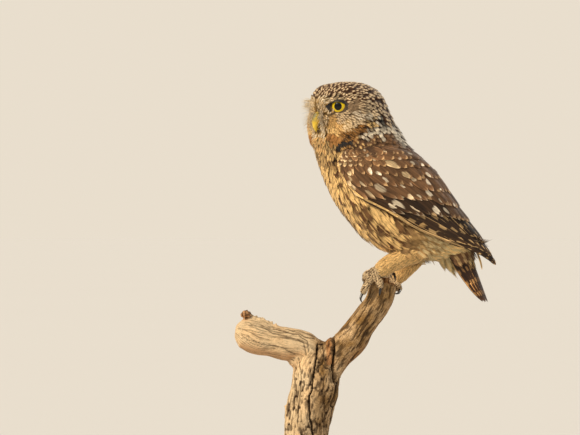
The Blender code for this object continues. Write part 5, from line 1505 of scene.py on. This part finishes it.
CRACKS = (
    (((-39.2, 123.6), (-41.9, 107), (-43.9, 96.4), (-45, 85), (-47, 80.7), (-46.4, 70), (-46, 63), (-44, 55), (-42, 40)), 0.75, 3.0),
    (((-27.2, 129.5), (-26.7, 116.3), (-27.2, 105.8), (-26.2, 95.4), (-24.6, 91.2)), 1.0, 4.0),
    (((-21.2, 94), (-24.2, 83.9), (-28.2, 72.5)), 1.1, 3.2),
    (((-40.8, 101.7), (-38.7, 105.8), (-35.6, 107.4), (-33, 104.8), (-28.8, 102.7)), 0.5, 1.2),
    (((-35, 122.6), (-34.6, 114), (-35.2, 107.9)), 0.4, 1.0),
    (((-79, 137.2), (-68.5, 136.4), (-57, 133.6), (-48.7, 128.9), (-42, 127.5)), 0.4, 1.0),
    (((-82, 135.4), (-66, 134.2), (-55, 130.8), (-48, 125.0), (-46.5, 116)), 0.35, 0.8),
    (((-95, 139.5), (-84, 136.2), (-76, 131.5), (-62, 129.5), (-51, 124.5), (-49.5, 114)), 0.35, 0.7),
    (((-100, 128), (-86, 123), (-70, 120.5), (-58, 114.5)), 0.3, 0.6),
    (((-55.5, 112), (-53, 98), (-54.5, 80), (-56, 62)), 0.35, 0.8),
    (((-33.5, 98), (-35.5, 84), (-33, 66), (-34.5, 45)), 0.35, 0.8),
    (((5.5, 166), (-1.5, 151), (-10, 139)), 0.35, 0.8),
    (((17, 160), (10.5, 147), (2, 133), (-8, 120)), 0.4, 0.9),
)


def line_distance(points, line):
    """Distance from flat points to a bent line."""
    line = np.asarray(line, float)
    starts, runs = line[:-1], np.diff(line, axis=0)
    share = np.clip(((points[:, None] - starts) * runs).sum(-1) / (runs**2).sum(-1), 0, 1)
    return np.linalg.norm(points[:, None] - starts - runs * share[..., None], axis=-1).min(1)


class OWL_OT_perch(OwlOperator, bpy.types.Operator):
    """Make the forked branch of weathered wood"""

    bl_idname = "owl.perch"
    bl_label = "Branch"

    def execute(self, context):
        lines = {}
        for part, table in BRANCH.items():
            rows = spline(table, np.linspace(0, len(table) - 1, 44))
            lines[part] = np.stack([rows[:, 0], np.zeros(len(rows)), rows[:, 1]], -1), rows[:, 2]
        sources = [tube(line, radii, 28) for line, radii in lines.values()]
        knob = np.array(((4.6, 0, 1.2), (0, 4.4, 0), (-0.8, 0, 3.4)))
        sources += [
            ball((-98.8, -2.0, 147.4), knob, 14, 8),
            ball((-53.9, 0.0, 111.8), np.eye(3) * 10.4, 18, 10),
            ball((14.5, -2.0, 174.8), np.diag((6.0, 6.5, 4.4)), 14, 8),
            tube(((-97, 0, 144), (-88, -1, 143.2), (-80, -2, 140.6), (-71.5, -2, 138.4)), (3.4, 3.0, 2.0, 0.7), 10),
            tube(((-62, 0, 71), (-67.8, -2, 72.2)), (2.4, 1.0), 8),
        ]
        points, faces = remeshed("branch", sources, mm("wood_voxel"))
        points = smoothed(points, faces, 5)
        points[:, 0] += 0.9 * noise(points / (9.0, 9.0, 16.0), 31)
        normals = vertex_normals(points, faces)
        count = len(points)
        along, around, nearest = np.zeros(count), np.zeros(count), np.full(count, 1e9)
        grain_way, part_of = np.zeros((count, 3)), np.zeros(count, int)
        for number, (line, radii) in enumerate(lines.values()):
            gap = np.linalg.norm(points[:, None] - line[None], axis=-1)
            index = gap.argmin(1)
            score = gap[np.arange(count), index] / radii[index]
            way = unit(np.gradient(line, axis=0))[index]
            near = np.cross(way, (0.0, 1.0, 0.0))
            out = points - line[index]
            turn = np.arctan2(out[:, 1], (out * near).sum(1))
            run = np.concatenate([[0], np.cumsum(np.linalg.norm(np.diff(line, axis=0), axis=1))])[index]
            run = run + (out * way).sum(1)
            closer = score < nearest
            along[closer], around[closer], nearest[closer] = run[closer] + 300.0 * number, turn[closer], score[closer]
            grain_way[closer], part_of[closer] = way[closer], number
        ring = np.stack([np.cos(around), np.sin(around)], -1) * 15.0
        bend = noise(points / 22.0, 3) * 2.6
        ring = ring + bend[:, None]

        def fibres(length, width, seed):
            return noise(np.column_stack([along / length, ring / width]), seed)

        ends = np.abs((normals * grain_way).sum(1))
        stub = smooth_step(-points[:, 0], 40.0, 56.0) * (points[:, 2] > 105)
        rough = 1 - stub
        long_lines = smooth_step(1 - np.abs(fibres(60.0, 3.4, 7)), 0.86, 0.99) * (0.4 + 0.6 * stub)
        strands = smooth_step(fibres(5.5, 1.6, 8), 0.05, 0.45) * (0.25 + 0.75 * rough)
        pits = smooth_step(noise(points / (1.7, 1.7, 2.3), 9), 0.2, 0.55) * rough * (part_of == 0)
        height = 0.7 * noise(points / 15.0, 4) + 0.3 * noise(points / 5.0, 12)
        height -= mm("crack_depth") * (0.35 * long_lines + 0.4 * strands + 0.35 * pits) * (1 - 0.6 * ends)
        dark = (0.6 * long_lines + 0.7 * strands + 0.8 * pits) * (1 - 0.5 * ends)
        front = smooth_step(-points[:, 1], -3.0, 2.0)
        flat = points[:, [0, 2]] + np.stack([noise(points / 3.5, seed) for seed in (15, 16)], -1) * 0.6
        # Cracks are cut into the surface and painted dark inside, the deepest near black: painted shade in the cracks
        for line, half, depth in CRACKS:
            cut = (1 - smooth_step(line_distance(flat, line), half * 0.5, half * 1.5)) * front
            height -= depth * cut
            dark = np.maximum(dark, cut * (1.3 if depth > 2 else 0.8))
        torn = (1 - smooth_step(line_distance(flat, ((-30.8, 129.0), (-30.2, 108.0))), 1.6, 2.8)) * front
        height += 0.9 * torn
        broken = smooth_step(points[:, 2], 166.0, 174.0) * smooth_step(ends, 0.3, 0.7)
        knot = 1 - smooth_step(np.linalg.norm(points - (-99.0, -2.0, 148.0), axis=1), 4.5, 7.0)
        crest = smooth_step(points[:, 2] + 0.25 * points[:, 0], 119.0, 122.0) * smooth_step(-points[:, 0], 66, 74)
        dark = np.maximum(dark, 0.8 * knot * smooth_step(noise(points / 1.5, 36), -0.1, 0.3))
        ragged = np.maximum.reduce([broken, crest * stub, knot])
        height += ragged * 1.5 * noise(points / (1.6, 2.2, 4.0), 33)
        points = points + normals * (height - 0.2)[:, None]
        points[:, 2] = np.maximum(points[:, 2], 40.0)
        # Paler wood: the stub's pale weathered wood, brightened further as painted light, and painted light on the
        # trunk, paler towards its left side, which faces the key light
        pale = 0.06 + 0.95 * stub + 0.8 * smooth_step(-points[:, 0], 34.0, 50.0) * rough + 0.25 * noise(points / 6.0, 35)
        # Red-orange wood: real on the torn, broken and knotted wood, and painted bounce light on faces that look down
        torn_and_bounce = np.maximum.reduce([torn, 0.8 * broken, knot, 0.75 * smooth_step(-normals[:, 2], 0.25, 0.8)])
        material, tree, shader = new_material("weathered wood", 0.8, 0.15)
        coordinate = attribute(tree, "grain").outputs["Vector"]
        spot = put(tree, "ShaderNodeTexCoord").outputs["Object"]
        line = textured(tree, coordinate, 1.0, 7.0, 0.7)
        fleck = textured(tree, spot, 900.0, 4.0, 0.65)
        cloud = textured(tree, spot, 60.0, 4.0)
        marks = put(tree, "ShaderNodeSeparateXYZ", [(0, attribute(tree, "wear").outputs["Vector"])]).outputs
        # Brown to pale wood by the third mask, partly painted light; wood_red by the second, partly painted bounce
        # light; near black by the first, partly painted shade in the cracks
        tone = mixed(tree, marks[2], tuple(colour("wood_brown")), tuple(colour("wood")))
        tone = mixed(tree, step(tree, cloud, 0.35, 0.75), tone, tuple(colour("wood") * (1.05, 0.95, 0.85)))
        tone = mixed(tree, calc(tree, "MULTIPLY", marks[1], 0.7), tone, tuple(colour("wood_red")))
        tone = mixed(tree, calc(tree, "MULTIPLY", step(tree, line, 0.47, 0.66), 0.75), tone, tuple(colour("wood_dark")))
        rough = calc(tree, "MULTIPLY_ADD", marks[2], -0.55, 0.75)
        tone = mixed(tree, calc(tree, "MULTIPLY", step(tree, fleck, 0.5, 0.64), rough), tone, tuple(colour("wood_dark")))
        tone = mixed(tree, marks[0], tone, tuple(colour("wood_dark") * 0.35))
        tree.links.new(tone, shader.inputs["Base Color"])
        bumped(tree, shader, calc(tree, "SUBTRACT", calc(tree, "MULTIPLY", line, -1.0), fleck), 0.6, 0.0009)
        scaled = np.column_stack([along / 13.0, ring / 1.2])
        # Dark grain with painted shade in the cracks, torn wood with painted bounce light, pale wood with painted light
        wear = np.clip(np.stack([dark, torn_and_bounce, pale], -1), 0, 1)
        obj = make_mesh("branch", points, faces, material, None, {"grain": scaled, "wear": wear})
        finish_piece(obj, "dead_wood", "perch_trunk", "perch_limb", "perch_stub")
        return {"FINISHED"}


def turned(name, profile, sides, centre, material):
    """A body of revolution round an upright axis. The profile is radius and height in mm."""
    points = [(0.0, 0.0, profile[0][1])]
    turns = np.linspace(0, math.tau, sides, endpoint=False)
    for radius, height in profile:
        points += [(radius * math.cos(a), radius * math.sin(a), height) for a in turns]
    points.append((0.0, 0.0, profile[-1][1]))
    faces = [(0, 1 + (j + 1) % sides, 1 + j) for j in range(sides)]
    for i in range(len(profile) - 1):
        for j in range(sides):
            a, b = 1 + i * sides + j, 1 + i * sides + (j + 1) % sides
            faces += [(a, b, b + sides), (a, b + sides, a + sides)]
    last = 1 + (len(profile) - 1) * sides
    faces += [(last + j, last + (j + 1) % sides, len(points) - 1) for j in range(sides)]
    obj = make_mesh(name, np.array(points) + centre, np.array(faces), material)
    obj.data.set_sharp_from_angle(angle=math.radians(40))
    return obj


class OWL_OT_stand(OwlOperator, bpy.types.Operator):
    """Make the stand: a turned wooden base and a steel rod"""

    bl_idname = "owl.stand"
    bl_label = "Stand"

    def execute(self, context):
        wood, tree, shader = new_material("stained wood", 0.32, 0.5)
        spot = put(tree, "ShaderNodeTexCoord").outputs["Object"]
        stretch = put(tree, "ShaderNodeMapping", [("Vector", spot), ("Scale", (8.0, 90.0, 90.0))]).outputs[0]
        grain = textured(tree, stretch, 3.0, 5.0, 0.6)
        tone = mixed(tree, step(tree, grain, 0.35, 0.7), tuple(colour("base")), tuple(colour("base") * 2.4))
        tree.links.new(tone, shader.inputs["Base Color"])
        bumped(tree, shader, grain, 0.12, 0.0004)
        shader.inputs["Coat Weight"].default_value = 0.35
        shader.inputs["Coat Roughness"].default_value = 0.15
        arc = [(math.cos(a), math.sin(a)) for a in np.linspace(0, math.pi / 2, 7)]
        edge = [(77.6 + 2.4 * c, 11.6 + 2.4 * s) for c, s in arc]
        profile = [(78.6, 0.0), (80.0, 1.2), (80.0, 3.4), (79.3, 4.0), (79.3, 4.6), (80.0, 5.2), *edge]
        finish_piece(turned("base_turned", profile, 128, (0, 0, 0), wood), "base_wood", "stand_base")
        metal, tree, shader = new_material("brushed steel", 0.3, 0.5)
        shader.inputs["Metallic"].default_value = 1.0
        spot = put(tree, "ShaderNodeTexCoord").outputs["Object"]
        stretch = put(tree, "ShaderNodeMapping", [("Vector", spot), ("Scale", (40.0, 40.0, 3000.0))]).outputs[0]
        line = textured(tree, stretch, 2.0)
        tone = mixed(tree, line, tuple(colour("steel") * 0.8), tuple(colour("steel")))
        tree.links.new(tone, shader.inputs["Base Color"])
        bumped(tree, shader, line, 0.1, 0.0002)
        low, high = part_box("stand_rod")
        centre = ((low.x + high.x) / 2 / MM, (low.y + high.y) / 2 / MM, 0.0)
        profile = [(8.0, 14.05), (8.0, 15.6), (7.4, 16.2), (5.0, 16.4), (5.0, high.z / MM)]
        finish_piece(turned("rod_steel", profile, 48, centre, metal), "steel", "stand_rod")
        return {"FINISHED"}


VIEW_CENTRE = Vector((-0.0623, 0.0, 0.2266))
VIEW_WIDTH = 0.4756
VIEW_DISTANCE = 5.0


class OWL_OT_stage(OwlOperator, bpy.types.Operator):
    """Set the floor, the lights and the camera"""

    bl_idname = "owl.stage"
    bl_label = "Stage"

    def execute(self, context):
        scene = context.scene
        material, tree, shader = new_material("floor", 1.0, 0.0)
        cloud = textured(tree, put(tree, "ShaderNodeTexCoord").outputs["Object"], 0.6, 2.0)
        tone = mixed(tree, cloud, tuple(colour("floor") * 0.99), tuple(colour("floor")))
        tree.links.new(tone, shader.inputs["Base Color"])
        reach = 60000.0
        corners = np.array([(-reach, -reach, -0.3), (reach, -reach, -0.3), (reach, reach, -0.3), (-reach, reach, -0.3)])
        floor = make_mesh("floor", corners, np.array(((0, 1, 2), (0, 2, 3))), material)
        lights = (
            ("key", (-0.72, -0.52, 0.62), size("key_light"), 14.0, (1.0, 0.87, 0.68)),
            ("fill", (0.8, -0.7, 0.35), size("fill_light"), 40.0, (1.0, 0.95, 0.88)),
            ("rim", (0.55, 0.8, 0.6), size("rim_light"), 25.0, (1.0, 0.92, 0.8)),
        )
        for name, way, strength, spread, tint in lights:
            lamp = bpy.data.lights.new(name, "SUN")
            lamp.energy, lamp.angle, lamp.color = strength, math.radians(spread), tint
            obj = bpy.data.objects.new(name, lamp)
            obj.rotation_euler = Vector(way).to_track_quat("Z", "Y").to_euler()
            scene.collection.objects.link(obj)
        ambient = np.array((0.96, 0.97, 1.0)) * size("sky_light")
        lit = sum(np.array(tint) * strength * unit(np.array(way))[2] for _, way, strength, _, tint in lights) / math.pi
        horizon = colour("floor") * (ambient + lit) * 0.995 / size("sky_light")
        world = bpy.data.worlds.new("studio")
        world.use_nodes = True
        background = world.node_tree.nodes["Background"]
        background.inputs["Strength"].default_value = size("sky_light")
        near = put(world.node_tree, "ShaderNodeLightPath").outputs["Is Camera Ray"]
        shown = mixed(world.node_tree, near, tuple(ambient / size("sky_light")), tuple(horizon))
        world.node_tree.links.new(shown, background.inputs["Color"])
        scene.world = world
        camera = bpy.data.cameras.new("camera")
        camera.sensor_width = 36.0
        camera.lens = camera.sensor_width * VIEW_DISTANCE / VIEW_WIDTH
        camera.clip_end = 200.0
        obj = bpy.data.objects.new("camera", camera)
        obj.location = VIEW_CENTRE - Vector((0.0, VIEW_DISTANCE, 0.0))
        obj.rotation_euler = (math.pi / 2, 0.0, 0.0)
        scene.collection.objects.link(obj)
        scene.camera = obj
        scene.view_settings.view_transform = "Standard"
        return {"FINISHED"}


OPERATORS = (
    OWL_OT_skin,
    OWL_OT_plumage,
    OWL_OT_wings,
    OWL_OT_tail,
    OWL_OT_eyes,
    OWL_OT_bill,
    OWL_OT_claws,
    OWL_OT_perch,
    OWL_OT_stand,
    OWL_OT_stage,
)


class OWL_PT_panel(bpy.types.Panel):
    """Lists the steps that dress the owl"""

    bl_idname = "OWL_PT_panel"
    bl_label = "Little owl"
    bl_space_type = "VIEW_3D"
    bl_region_type = "UI"
    bl_category = "Owl"

    def draw(self, context):
        for step_class in OPERATORS:
            self.layout.operator(step_class.bl_idname)
        for group, names in ((context.scene.owl_sizes, SIZES), (context.scene.owl_colours, COLOURS)):
            for name in names:
                self.layout.prop(group, name)


CLASSES = (OwlColours, OwlSizes, *OPERATORS, OWL_PT_panel)


def register():
    for item in CLASSES:
        bpy.utils.register_class(item)
    bpy.types.Scene.owl_colours = bpy.props.PointerProperty(type=OwlColours)
    bpy.types.Scene.owl_sizes = bpy.props.PointerProperty(type=OwlSizes)


def unregister():
    del bpy.types.Scene.owl_sizes
    del bpy.types.Scene.owl_colours
    for item in reversed(CLASSES):
        bpy.utils.unregister_class(item)


def main():
    register()
    for item in OPERATORS:
        group, name = item.bl_idname.split(".")
        getattr(getattr(bpy.ops, group), name)()


if __name__ == "__main__":
    main()
